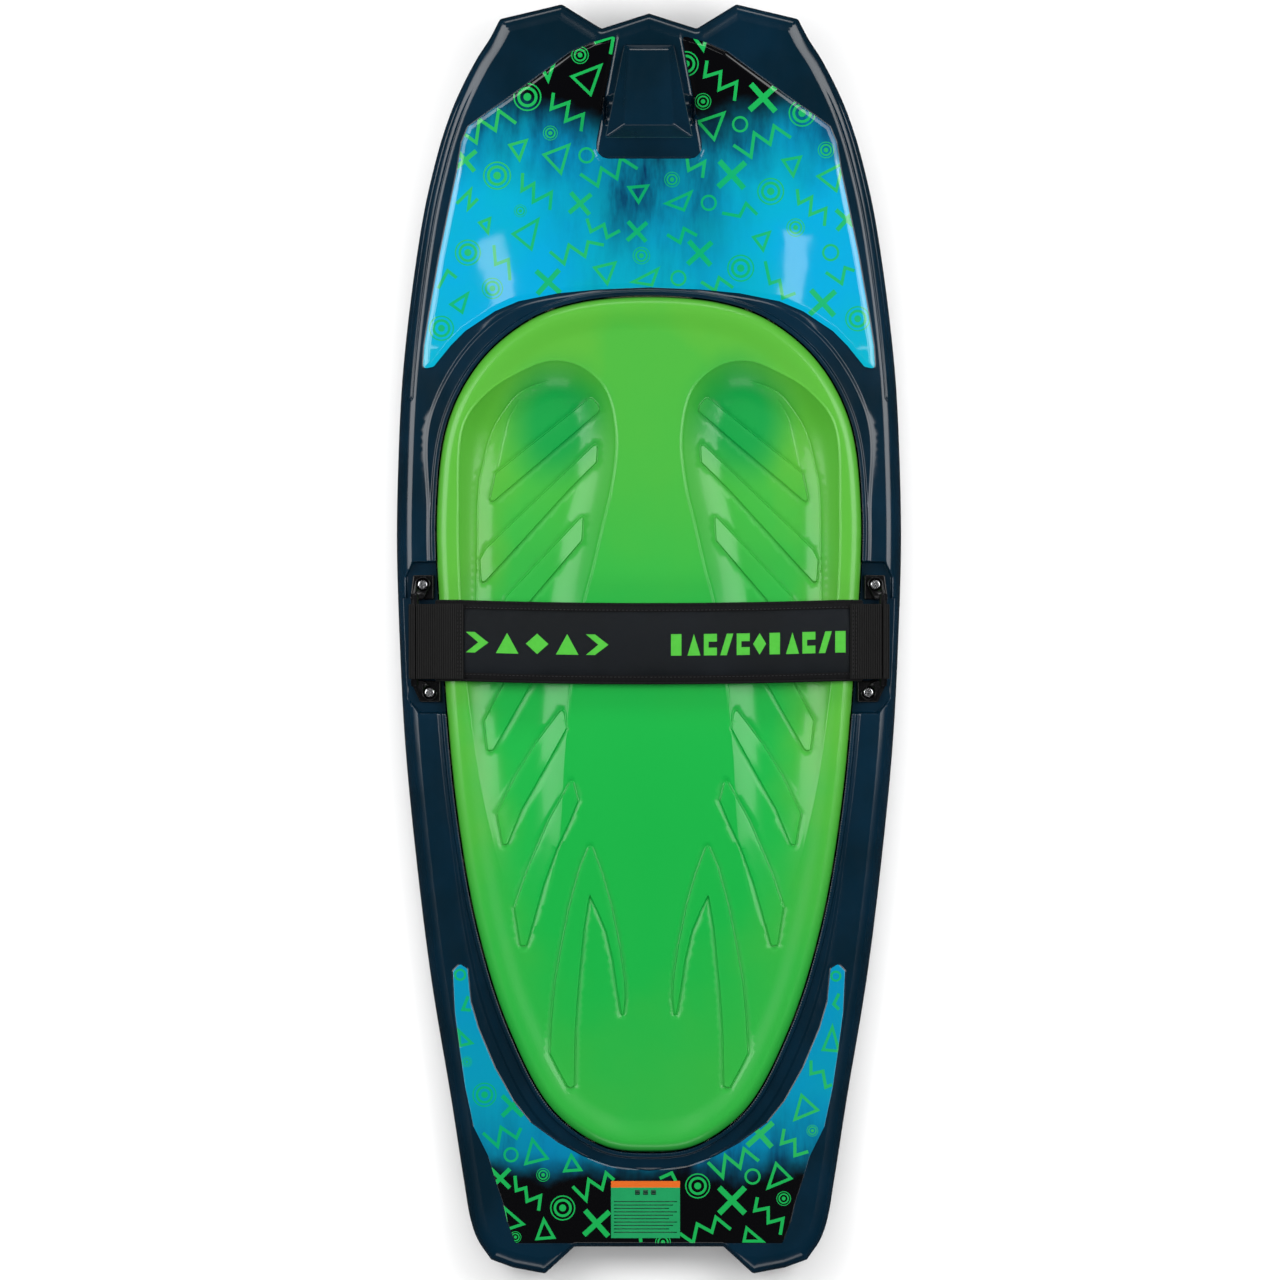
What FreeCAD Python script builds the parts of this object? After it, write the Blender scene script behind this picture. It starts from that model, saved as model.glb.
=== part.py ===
import FreeCAD, Part
import math
import os

# A kneeboard: a foam-filled moulded shell with a tow hook on its nose, a contoured knee pad
# in a recess of the deck, and a padded strap over the pad. Millimetres.
# +Y points to the nose, +X to the rider's right, +Z up. The origin is under the middle of the
# board, on the surface that its flat bottom rests on.

V = FreeCAD.Vector
os.makedirs("parts", exist_ok=True)

# ---------------------------------------------------------------- driving dimensions
HALF_LENGTH = 634.0        # nose horns and tail tips, from the middle of the board
NOSE_RISE = 95.0           # rocker of the bottom at the nose
TAIL_RISE = 28.0           # rocker of the bottom at the tail
FLAT_FRONT = 50.0          # the flat stretch of the bottom runs from here
FLAT_REAR = -200.0         # to here
THICKNESS = 54.0           # deck above the bottom, amidships
NOSE_THINNING = 24.0       # less thickness at the nose
TAIL_THINNING = 22.0       # less thickness at the tail
SKIN = 4.0                 # wall of the moulded shell
WIDEST_SHARE = 0.4         # height of the rail's widest line, as a share of the thickness
KEEL_IN = 28.0             # the underside turns up into the rail this far inboard
SHOULDER_IN = 11.0         # the rail's round ends in a shoulder, this far inboard
SHOULDER_DOWN = 5.0        # and this far below the deck

# half width of the rails at stations along the board: (y, half width)
RAIL = [(-645, 151), (-600, 171), (-540, 185.5), (-440, 201.5), (-320, 220.5), (-180, 237),
        (-20, 249), (100, 252.5), (220, 249.5), (320, 241), (420, 226.5), (503, 207),
        (560, 182.5), (600, 160), (645, 134)]
# right half of the nose, from the middle peak to the outer corner, and of the tail: (x, y)
NOSE_EDGE = [(0, 625), (47.5, 610), (87, 634), (148.5, 619.5), (300, 584)]
TAIL_EDGE = [(300, -440), (190, -580), (158, -620), (136, -628), (104, -634), (74.5, -607)]

# right half of the knee pad's outline, from the nose end to the tail end: (x, y)
PAD = [(0, 343), (70, 337), (118.5, 320), (167, 280), (200, 220), (212, 130), (205, -25),
       (192, -170), (171, -290), (139.5, -390), (96, -470), (45, -506), (0, -512)]
PAD_GAP = 1.5              # open joint between the pad and the coaming
RECESS_DEPTH = 26.0        # floor of the pad's recess, below the deck
PAD_PROUD = 9.5            # top of the pad's rim, above the deck
COAMING_WIDTH = 10.0       # raised ring of the shell around the pad
COAMING_HEIGHT = 5.0
PAD_EDGE_R = 10.0          # rounding of the pad's rim
KNEE_WELL = dict(x=108.0, y=150.0, half_x=76.0, half_y=128.0, depth=25.0)
SHIN_WELL = dict(x=104.0, y=-90.0, half_x=64.0, half_y=330.0, depth=20.0)

# tow hook: a tapering tongue over a seat for the handle of the rope
HOOK_NECK = (552.0, 594.0)     # the neck that joins the tongue to the deck, along Y
HOOK_NECK_HALF = (30.0, 22.0)  # its half width, rear and front
HOOK_TOP_SET_BACK = (4.0, 14.0)    # slope of the tongue's front and rear faces
HOOK_FRONT_Y = 594.0
HOOK_REAR_Y = 503.0
HOOK_FRONT_HALF = 24.0
HOOK_REAR_HALF = 43.0
HOOK_TOP_HALF = (19.0, 23.5)   # half width of its flat top, front and rear
HOOK_UNDER_Z = (113.0, 121.0)  # underside of the tongue, front and rear
HOOK_TOP_Z = (119.0, 138.0)    # top of the tongue, front and rear
HANDLE_SEAT_Y = 527.0
HANDLE_SEAT_Z = 104.0
HANDLE_SEAT_R = 16.0
HANDLE_SEAT_HALF = 51.0

# anchors of the strap, one on each rail: two screws, with the bar between them
SCREW_XY = [(226.4, 55.5), (219.5, -52.5)]
POCKET_FLOOR = 46.0
POCKET_Y = (-72.0, 77.0)
POCKET_INNER_X = 190.0
POCKET_REAR_X = (229.0, 241.0)     # outer side of the pocket: its rear end, and where it is widest
POCKET_FRONT_X = (235.0, 242.0)
POCKET_END = 14.0          # length of the slanted ends of the pocket
FOOT_BACK = 11.0           # foot of the bracket, inboard and outboard of the screw
FOOT_OUT = 9.5
FOOT_END = 9.5             # foot past the screw, along the rail
FOOT_INNER_Y = 44.0        # feet stop short of the webbing between them
FOOT_THICK = 5.0
BOSS_TOP = 57.0            # raised tongue of the foot around the screw
BOSS_R = 8.0
BAR_X = 234.0
BAR_Z = 55.0
BAR_R = 4.0
COUNTERBORE_R = 6.6
COUNTERBORE_FLOOR = 52.5
HEAD_R = 5.0
HEAD_HEIGHT = 3.0
SHANK_R = 2.5
SHANK_END = 33.0
INSERT_R = 4.0
INSERT_BOSS_R = 9.0
INSERT_BOTTOM = 31.0
BOSS_BOTTOM = 27.0

# strap
STRAP_Y = (-40.5, 39.5)        # rear and front edges
STRAP_UNDER = 66.0             # underside, where it spans the pad
STRAP_TOP = 75.0
COVER = 1.0                    # cover fabric
WEBBING = 2.0
BINDING_WIDTH = 8.0
BINDING = 1.0
BEND_X = 200.0                 # outboard of this the strap slopes down to the anchors
SLOPE = 0.4
COVER_END_X = 214.0
TAB_Y = (-39.0, 36.0)
TAB_END_X = {"left": 185.0, "right": 201.0}   # inboard ends of the two tabs
JOINT_GAP = 1.0
PATCH = 0.8                    # hook or loop fastener, each half
PATCH_GAP = 0.3
PLY_GAP = 0.5                  # webbing stands this far off the bar
LOOP_START = 5.0               # the webbing starts this far inboard of the cover's end
LOOP_KNEE = 14.0               # and is level from this far outboard of it

PLUG_Y = -60.0                 # filler plug of the foam, under the pad
PLUG_SUNK = 0.2                # below the floor of the recess
PLUG_CLEAR = 0.1               # above the foam
PLUG_R = 12.0
PLUG_FLANGE_R = 15.0
PLUG_FLANGE = 1.5

FIN_X = (70.0, 128.0)          # moulded tracking ridges under the tail
FIN_Y = (-604.0, -500.0)
FIN_HEIGHT = 9.0
FIN_HALF = 3.0
FIN_REAR_RUN = 12.0        # the ridge reaches its full height this far from its rear end
FIN_FULL_RUN = 50.0        # and keeps it to here

FILM = 0.5                     # moulded-in graphic film
LABEL_FILM = 0.3
LABEL_BOX = ((-38.0, -598.0), (31.0, -541.0))
NOSE_FILM = [(0, 481), (40, 481), (51, 492), (52.5, 503), (32.5, 603), (77, 587), (144, 538),
             (180.5, 512.5), (191.5, 468), (209, 385), (219.5, 326), (224.5, 294), (226, 271),
             (215, 273), (198, 295), (169.5, 318), (130.5, 338.5), (51, 349), (0, 350)]
TAIL_FILM = [(0, -530.5), (38.5, -526), (66, -516.5), (91, -502.5), (118.5, -482.5),
             (135.5, -461.5), (154.5, -428), (171, -388), (178.5, -362.5), (182, -329),
             (196, -331), (194, -373), (184, -447), (175.5, -487), (160.5, -516.5),
             (146, -562.5), (133, -604.5), (0, -604.5)]

FAR = 300.0                    # past the rails, for cutting tools
LOW = -60.0                    # below everything
HIGH = 260.0                   # above everything
BEYOND = 660.0                 # past the nose and the tail


# ---------------------------------------------------------------- lines of the board
def rocker(y):
    """Height of the bottom at y."""
    if y > FLAT_FRONT:
        return NOSE_RISE * ((y - FLAT_FRONT) / (HALF_LENGTH - FLAT_FRONT)) ** 2.2
    if y < FLAT_REAR:
        return TAIL_RISE * ((FLAT_REAR - y) / (HALF_LENGTH + FLAT_REAR)) ** 2
    return 0.0


def thickness(y):
    """Height of the deck above the bottom at y."""
    along = max(0.0, abs(y) - 100.0) / (HALF_LENGTH - 100.0)
    thinning = NOSE_THINNING if y > 0 else TAIL_THINNING
    return THICKNESS - thinning * along ** 1.5


def deck(y):
    return rocker(y) + thickness(y)


def steps(start, stop, count):
    return [start + (stop - start) * i / count for i in range(count + 1)]


def spline(points):
    curve = Part.BSplineCurve()
    curve.interpolate([V(*p) for p in points])
    return curve.toShape()


def side_slab(top_offset, bottom_offset):
    """Everything between the bottom and the deck, each moved up by its offset, across the board."""
    top = [(0, y, deck(y) + top_offset) for y in steps(-BEYOND, BEYOND, 24)]
    front = [(0, y, rocker(y) + bottom_offset) for y in steps(FLAT_FRONT, BEYOND, 10)]
    rear = [(0, y, rocker(y) + bottom_offset) for y in steps(-BEYOND, FLAT_REAR, 8)]
    edges = [spline(top), spline(front), spline(rear)]
    edges.append(Part.makeLine(V(*top[-1]), V(*front[-1])))
    edges.append(Part.makeLine(V(*front[0]), V(*rear[-1])))
    edges.append(Part.makeLine(V(*rear[0]), V(*top[0])))
    wire = Part.Wire(Part.__sortEdges__(edges))
    face = Part.Face(wire)
    face.translate(V(-FAR, 0, 0))
    return face.extrude(V(2 * FAR, 0, 0))


def prism(wire, low, high):
    face = Part.Face(wire)
    face.translate(V(0, 0, low))
    return face.extrude(V(0, 0, high - low))


def mirrored(half):
    """A closed list of points from its right half, which starts and may end on the middle line."""
    left = [(-x, y) for x, y in reversed(half) if x > 0]
    return list(half) + left


def polygon(points):
    corners = [V(x, y, 0) for x, y in points]
    return Part.makePolygon(corners + corners[:1])


def closed_curve(points):
    curve = Part.BSplineCurve()
    curve.interpolate(Points=points, PeriodicFlag=True)
    curve.setNotPeriodic()
    return curve


def pad_outline(offset):
    """The pad's outline, or a curve outside it by the offset."""
    points = [V(x, y, 0) for x, y in mirrored(PAD)]
    edge = closed_curve(points)
    moved = []
    for point in points:
        along = edge.tangent(edge.parameter(point))[0]
        moved.append(point + V(-along.y, along.x, 0) * offset)
    return Part.Wire([closed_curve(moved).toShape()])


def end_trim(inset):
    """The plan shape of the nose and the tail, with sides that stand clear of the rails."""
    nose = [(x, y - inset) for x, y in NOSE_EDGE]
    tail = [(x, y + inset) for x, y in TAIL_EDGE]
    return prism(polygon(mirrored(nose + tail)), LOW, HIGH)


# ---------------------------------------------------------------- shell and core
def bezier(a, control, b):
    curve = Part.BezierCurve()
    curve.setPoles([a, control, b])
    return curve.toShape()


def rail_section(y, half_width, inset):
    """One closed cross-section: flat underside, round rail, shoulder, and a top above the deck."""
    w = half_width - inset
    bottom = rocker(y)
    thick = thickness(y)
    side = bottom + WIDEST_SHARE * thick
    shoulder = bottom + thick - SHOULDER_DOWN - 0.6 * inset
    above = bottom + thick + 12.0
    keel = V(w - KEEL_IN, y, bottom - 6)
    keel_pole = V(w - 3, y, bottom - 2 + inset)
    widest = V(w, y, side)
    rail_pole = V(w, y, side + 0.32 * thick)
    edge = V(w - SHOULDER_IN, y, shoulder)
    crown = V(w - SHOULDER_IN - 7, y, above)

    def flip(p):
        return V(-p.x, p.y, p.z)

    edges = [bezier(keel, keel_pole, widest),
             bezier(widest, rail_pole, edge),
             Part.makeLine(edge, crown),
             Part.makeLine(crown, flip(crown)),
             Part.makeLine(flip(crown), flip(edge)),
             bezier(flip(edge), flip(rail_pole), flip(widest)),
             bezier(flip(widest), flip(keel_pole), flip(keel)),
             Part.makeLine(flip(keel), keel)]
    return Part.Wire(edges)


def hull_body(inset):
    """The outside of the shell, or with an inset the space inside it."""
    sections = [rail_section(y, w, inset) for y, w in RAIL]
    body = Part.makeLoft(sections, True, False)
    body = body.common(side_slab(-inset, inset))
    body = body.common(end_trim(inset))
    recess = prism(pad_outline(PAD_GAP + inset), LOW, HIGH)
    floor = side_slab(-RECESS_DEPTH - inset, LOW)
    body = body.cut(recess.cut(floor))
    for side in (1, -1):
        body = body.cut(anchor_pocket(side, inset))
    seat = Part.makeCylinder(HANDLE_SEAT_R + inset, 2 * (HANDLE_SEAT_HALF + inset),
                             V(-HANDLE_SEAT_HALF - inset, HANDLE_SEAT_Y, HANDLE_SEAT_Z),
                             V(1, 0, 0))
    return body.cut(seat)


def anchor_pocket(side, inset):
    """The step in the rail where a bracket stands, and the notch that its webbing turns in."""
    y0, y1 = POCKET_Y
    floor = POCKET_FLOOR - inset
    rear_end, rear_wide = POCKET_REAR_X
    front_end, front_wide = POCKET_FRONT_X
    outer = [(POCKET_INNER_X, y0 - inset), (rear_end + inset, y0 - inset),
             (rear_wide + inset, y0 + POCKET_END), (front_wide + inset, y1 - POCKET_END),
             (front_end + inset, y1 + inset), (POCKET_INNER_X, y1 + inset)]
    pocket = prism(polygon([(side * x, y) for x, y in outer]), floor, HIGH)
    notch_y0 = STRAP_Y[0] - 2 - inset
    notch_y1 = STRAP_Y[1] + 2 + inset
    notch = Part.makeBox(80, notch_y1 - notch_y0, 80, V(0, 0, 0))
    notch.translate(V(205 if side > 0 else -285, notch_y0, floor))
    return pocket.fuse(notch)


def coaming():
    """The ring of the shell that stands up around the pad, open at the two anchors."""
    ring = prism(pad_outline(PAD_GAP + COAMING_WIDTH), LOW, HIGH)
    ring = ring.cut(prism(pad_outline(PAD_GAP), LOW, HIGH))
    ring = ring.common(side_slab(COAMING_HEIGHT, 20))
    for side in (1, -1):
        ring = ring.cut(anchor_pocket(side, 0))
    return ring


def tow_hook():
    """A tapering tongue that rises to the rear over the handle seat, on a neck."""
    under_front, under_rear = HOOK_UNDER_Z
    top_front, top_rear = HOOK_TOP_Z
    half_front, half_rear = HOOK_TOP_HALF
    under = [V(-HOOK_FRONT_HALF, HOOK_FRONT_Y, under_front),
             V(HOOK_FRONT_HALF, HOOK_FRONT_Y, under_front),
             V(HOOK_REAR_HALF, HOOK_REAR_Y, under_rear),
             V(-HOOK_REAR_HALF, HOOK_REAR_Y, under_rear)]
    front_y = HOOK_FRONT_Y - HOOK_TOP_SET_BACK[0]
    rear_y = HOOK_REAR_Y + HOOK_TOP_SET_BACK[1]
    top = [V(-half_front, front_y, top_front), V(half_front, front_y, top_front),
           V(half_rear, rear_y, top_rear), V(-half_rear, rear_y, top_rear)]
    tongue = Part.makeLoft([Part.makePolygon(under + under[:1]),
                            Part.makePolygon(top + top[:1])], True, True)
    rear, front = HOOK_NECK
    wide, narrow = HOOK_NECK_HALF
    neck = prism(polygon([(-wide, rear), (wide, rear), (narrow, front), (-narrow, front)]),
                 deck(rear) - SKIN, top_front)
    seat = Part.makeCylinder(HANDLE_SEAT_R, 200, V(-100, HANDLE_SEAT_Y, HANDLE_SEAT_Z), V(1, 0, 0))
    return tongue.fuse(neck.cut(seat))


def fins():
    """Two tapering ridges under the tail on each side, clear of the ground that it rests on."""
    shapes = []
    y0, y1 = FIN_Y
    for x in FIN_X:
        for side in (1, -1):
            full, fall = y0 + FIN_REAR_RUN, y0 + FIN_FULL_RUN
            profile = [V(side * x, y0, rocker(y0) + 2), V(side * x, full, rocker(y0) - FIN_HEIGHT),
                       V(side * x, fall, rocker(fall) - FIN_HEIGHT), V(side * x, y1, rocker(y1) + 1)]
            face = Part.Face(Part.makePolygon(profile + profile[:1]))
            face.translate(V(-FIN_HALF, 0, 0))
            shapes.append(face.extrude(V(2 * FIN_HALF, 0, 0)))
    return shapes


def cylinder(x, y, low, high, radius):
    return Part.makeCylinder(radius, high - low, V(x, y, low))


def both_sides(points):
    return [(side * x, y) for side in (1, -1) for x, y in points]


def insert_bosses():
    return [cylinder(x, y, BOSS_BOTTOM, POCKET_FLOOR, INSERT_BOSS_R)
            for x, y in both_sides(SCREW_XY)]


def make_foam_core():
    core = hull_body(SKIN)
    for boss in insert_bosses():
        core = core.cut(boss)
    return core


def make_graphic(points):
    """A film let into the deck, with its outside flush."""
    sheet = side_slab(0, 20).cut(side_slab(-FILM, 0))
    sheet = sheet.common(prism(polygon(mirrored(points)), LOW, HIGH))
    return sheet.cut(prism(pad_outline(PAD_GAP + COAMING_WIDTH + 0.3), LOW, HIGH))


def make_label():
    (x0, y0), (x1, y1) = LABEL_BOX
    block = Part.makeBox(x1 - x0, y1 - y0, HIGH - LOW, V(x0, y0, LOW))
    return block.common(side_slab(LABEL_FILM, 20)).cut(side_slab(0, 0))


def make_plug():
    floor = deck(PLUG_Y) - RECESS_DEPTH - PLUG_SUNK
    flange = cylinder(0, PLUG_Y, floor - PLUG_FLANGE, floor, PLUG_FLANGE_R)
    stem = cylinder(0, PLUG_Y, floor + PLUG_SUNK + PLUG_CLEAR - SKIN, floor - PLUG_FLANGE, PLUG_R)
    return flange.fuse(stem).removeSplitter()


def make_hull(core, films, plug):
    shell = hull_body(0)
    shell = shell.fuse(coaming())
    shell = shell.fuse(tow_hook())
    for fin in fins():
        shell = shell.fuse(fin)
    shell = shell.cut(core)
    for x, y in both_sides(SCREW_XY):
        shell = shell.cut(cylinder(x, y, INSERT_BOTTOM, POCKET_FLOOR, INSERT_R))
    shell = shell.cut(plug)
    floor = THICKNESS - RECESS_DEPTH
    shell = shell.cut(cylinder(0, PLUG_Y, floor - SKIN - 1, floor, PLUG_R))
    shell = shell.cut(cylinder(0, PLUG_Y, floor - 1, floor + 1, PLUG_FLANGE_R))
    for film in films:
        shell = shell.cut(film)
    return shell


# ---------------------------------------------------------------- knee pad
def well(side, x, y, half_x, half_y, depth):
    """A hollow in the pad: part of an ellipsoid, so it has no corners."""
    rim = deck(y) + PAD_PROUD
    high = 40.0
    reach = math.sqrt(1 - (high / (high + depth)) ** 2)
    matrix = FreeCAD.Matrix()
    matrix.scale(half_x / reach, half_y / reach, high + depth)
    ball = Part.makeSphere(1.0).transformGeometry(matrix)
    ball.translate(V(side * x, y, rim + high))
    return ball


def make_knee_pad():
    body = prism(pad_outline(0), LOW, HIGH)
    body = body.common(side_slab(PAD_PROUD, 0))
    body = body.cut(side_slab(-RECESS_DEPTH, LOW))
    top = max(body.Faces, key=lambda face: face.CenterOfMass.z)
    body = body.makeFillet(PAD_EDGE_R, top.Edges)
    for side in (1, -1):
        body = body.cut(well(side, **KNEE_WELL))
        body = body.cut(well(side, **SHIN_WELL))
    return body


# ---------------------------------------------------------------- strap anchors
def make_bracket():
    """Right-hand bracket: a foot and a raised tongue at each screw, and the bar between them."""
    body = None
    for x, y in SCREW_XY:
        toward = 1 if y > 0 else -1
        outer = y + toward * FOOT_END
        inner = toward * FOOT_INNER_Y if y > 0 else toward * (FOOT_INNER_Y - 1)
        foot = [(x - FOOT_BACK, outer), (x + FOOT_OUT, outer),
                (BAR_X + BAR_R + 1, inner), (x - FOOT_BACK, inner)]
        block = prism(polygon(foot), POCKET_FLOOR, POCKET_FLOOR + FOOT_THICK)
        tongue = cylinder(x, y, POCKET_FLOOR, BOSS_TOP, BOSS_R)
        arm = [(x - BOSS_R, y), (x + BOSS_R, y), (BAR_X + BAR_R, inner), (BAR_X - 2 * BAR_R, inner)]
        tongue = tongue.fuse(prism(polygon(arm), POCKET_FLOOR, BOSS_TOP))
        post = Part.makeBox(2 * BAR_R, 3.0, BAR_Z - POCKET_FLOOR,
                            V(BAR_X - BAR_R, inner if y > 0 else inner - 3.0, POCKET_FLOOR))
        foot_body = block.fuse(tongue).fuse(post)
        body = foot_body if body is None else body.fuse(foot_body)
    bar = Part.makeCylinder(BAR_R, 2 * FOOT_INNER_Y + 5.0, V(BAR_X, -FOOT_INNER_Y - 2.0, BAR_Z),
                            V(0, 1, 0))
    body = body.fuse(bar)
    for x, y in SCREW_XY:
        body = body.cut(cylinder(x, y, COUNTERBORE_FLOOR, BOSS_TOP + 1, COUNTERBORE_R))
        body = body.cut(cylinder(x, y, POCKET_FLOOR - 1, COUNTERBORE_FLOOR + 1, SHANK_R))
    return body.removeSplitter()


def make_screws():
    """Two pan-head screws with a cross recess."""
    screws = []
    for x, y in SCREW_XY:
        head = cylinder(x, y, COUNTERBORE_FLOOR, COUNTERBORE_FLOOR + HEAD_HEIGHT, HEAD_R)
        head = head.makeFillet(1.4, [head.Edges[0]])
        screw = head.fuse(cylinder(x, y, SHANK_END, COUNTERBORE_FLOOR, SHANK_R))
        top = COUNTERBORE_FLOOR + HEAD_HEIGHT
        for length, width in ((5.0, 1.1), (1.1, 5.0)):
            screw = screw.cut(Part.makeBox(length, width, 4, V(x - length / 2, y - width / 2, top - 1.6)))
        screws.append(screw)
    return Part.makeCompound(screws)


def make_inserts():
    """Two threaded sleeves moulded into the shell."""
    sleeves = []
    for x, y in SCREW_XY:
        sleeve = cylinder(x, y, INSERT_BOTTOM, POCKET_FLOOR, INSERT_R)
        sleeves.append(sleeve.cut(cylinder(x, y, SHANK_END, POCKET_FLOOR, SHANK_R)))
    return Part.makeCompound(sleeves)


# ---------------------------------------------------------------- strap
def strip(profile, y0, y1):
    """A band across the board: an X-Z profile drawn out from y0 to y1."""
    corners = [V(x, y0, z) for x, z in profile]
    return Part.Face(Part.makePolygon(corners + corners[:1])).extrude(V(0, y1 - y0, 0))


def strap_line(x):
    """Height of the strap's underside, right side: level over the pad, then sloping down."""
    return STRAP_UNDER - SLOPE * max(0.0, x - BEND_X)


def band(x0, x1, low, high, y0, y1):
    """A layer that lies between two heights above the strap's underside, with its bend."""
    xs = [x0] + ([BEND_X] if x0 < BEND_X < x1 else []) + [x1]
    lower = [(x, strap_line(x) + low) for x in xs]
    upper = [(x, strap_line(x) + high) for x in reversed(xs)]
    return strip(lower + upper, y0, y1)


def make_strap_end(tab_end):
    """The padded end of the strap, which stays at the anchor, under the tab."""
    y0, y1 = STRAP_Y
    high = STRAP_TOP - STRAP_UNDER
    return band(tab_end, COVER_END_X, 0, high, y0, y1)


def make_loop_patch(tab_end):
    high = STRAP_TOP - STRAP_UNDER
    return band(tab_end + 1, COVER_END_X - 1, high, high + PATCH, TAB_Y[0] + 2, TAB_Y[1] - 2)


def make_hook_patch(tab_end):
    low = STRAP_TOP - STRAP_UNDER + PATCH + PATCH_GAP
    return band(tab_end + 1, COVER_END_X - 1, low, low + PATCH, TAB_Y[0] + 2, TAB_Y[1] - 2)


def make_tab(tab_end):
    """The free end of the webbing, from the top of its fold to its tip on the strap."""
    low = STRAP_TOP - STRAP_UNDER + 2 * PATCH + PATCH_GAP
    fold = BAR_Z + BAR_R + PLY_GAP
    xs = [tab_end] + ([BEND_X] if tab_end < BEND_X else []) + [COVER_END_X]
    lower = [(x, strap_line(x) + low) for x in xs] + [(BAR_X - 1.5, fold)]
    upper = [(x, z + WEBBING) for x, z in reversed(lower)]
    return strip(lower + upper, *TAB_Y)


def make_strap_loop():
    """Webbing from under the strap's end, under the bar and round its outboard side."""
    under = BAR_Z - BAR_R - PLY_GAP - WEBBING
    start_x = COVER_END_X - LOOP_START
    start = (start_x, strap_line(start_x) - WEBBING)
    knee = (COVER_END_X + LOOP_KNEE, under)
    lower = [start, knee, (BAR_X, under)]
    ply = strip(lower + [(x, z + WEBBING) for x, z in reversed(lower)], *TAB_Y)
    outer = Part.makeCylinder(BAR_R + PLY_GAP + WEBBING, TAB_Y[1] - TAB_Y[0],
                              V(BAR_X, TAB_Y[0], BAR_Z), V(0, 1, 0))
    inner = Part.makeCylinder(BAR_R + PLY_GAP, TAB_Y[1] - TAB_Y[0], V(BAR_X, TAB_Y[0], BAR_Z),
                              V(0, 1, 0))
    half = Part.makeBox(20, 200, 40, V(BAR_X, -100, BAR_Z - 20))
    return ply.fuse(outer.cut(inner).common(half)).removeSplitter()


def strap_span(low, high, margin):
    """A layer of the middle of the strap, between the two tabs."""
    x0 = -TAB_END_X["left"] + JOINT_GAP
    x1 = TAB_END_X["right"] - JOINT_GAP
    y0, y1 = STRAP_Y
    return Part.makeBox(x1 - x0, y1 - y0 - 2 * margin, high - low, V(x0, y0 + margin, low))


def make_binding(front):
    """Edge tape folded round one long edge of the strap."""
    y0, y1 = STRAP_Y
    tape = strap_span(STRAP_UNDER - BINDING, STRAP_TOP + BINDING, -BINDING)
    tape = tape.cut(strap_span(STRAP_UNDER, STRAP_TOP, 0))
    near = y1 - BINDING_WIDTH if front else y0 - 10
    return tape.common(Part.makeBox(600, BINDING_WIDTH + 10, 40, V(-300, near, 50)))


def left_of(shape):
    return shape.mirror(V(0, 0, 0), V(1, 0, 0))


# ---------------------------------------------------------------- build
parts = {}
parts["foam_core"] = make_foam_core()
parts["nose_graphic"] = make_graphic(NOSE_FILM)
parts["tail_graphic"] = make_graphic(TAIL_FILM)
parts["foam_fill_plug"] = make_plug()
parts["hull_shell"] = make_hull(parts["foam_core"], [parts["nose_graphic"], parts["tail_graphic"]],
                                parts["foam_fill_plug"])
parts["info_label"] = make_label()
parts["knee_pad"] = make_knee_pad()

anchor_makers = {"anchor_bracket": make_bracket, "anchor_screws": make_screws,
                 "anchor_inserts": make_inserts, "strap_loop": make_strap_loop}
tab_makers = {"strap_end": make_strap_end, "loop_patch": make_loop_patch,
              "hook_patch": make_hook_patch, "tab": make_tab}
for name, maker in anchor_makers.items():
    parts["right_" + name] = maker()
    parts["left_" + name] = left_of(maker())
for name, maker in tab_makers.items():
    parts["right_" + name] = maker(TAB_END_X["right"])
    parts["left_" + name] = left_of(maker(TAB_END_X["left"]))

parts["strap_cover_back"] = strap_span(STRAP_UNDER, STRAP_UNDER + COVER, 0)
parts["strap_webbing"] = strap_span(STRAP_UNDER + COVER, STRAP_UNDER + COVER + WEBBING, 8)
parts["strap_foam"] = strap_span(STRAP_UNDER + COVER + WEBBING, STRAP_TOP - COVER, 2)
parts["strap_cover_top"] = strap_span(STRAP_TOP - COVER, STRAP_TOP, 0)
parts["strap_binding_front"] = make_binding(True)
parts["strap_binding_rear"] = make_binding(False)

for name, shape in parts.items():
    print(name, "solids", len(shape.Solids), "valid", shape.isValid(), "cm3", round(shape.Volume / 1000, 2))
    shape.exportStep("parts/" + name + ".step")
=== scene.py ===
import math

import bmesh
import bpy
import numpy as np
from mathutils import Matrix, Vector
from mathutils.geometry import delaunay_2d_cdt
from mathutils.kdtree import KDTree


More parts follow.
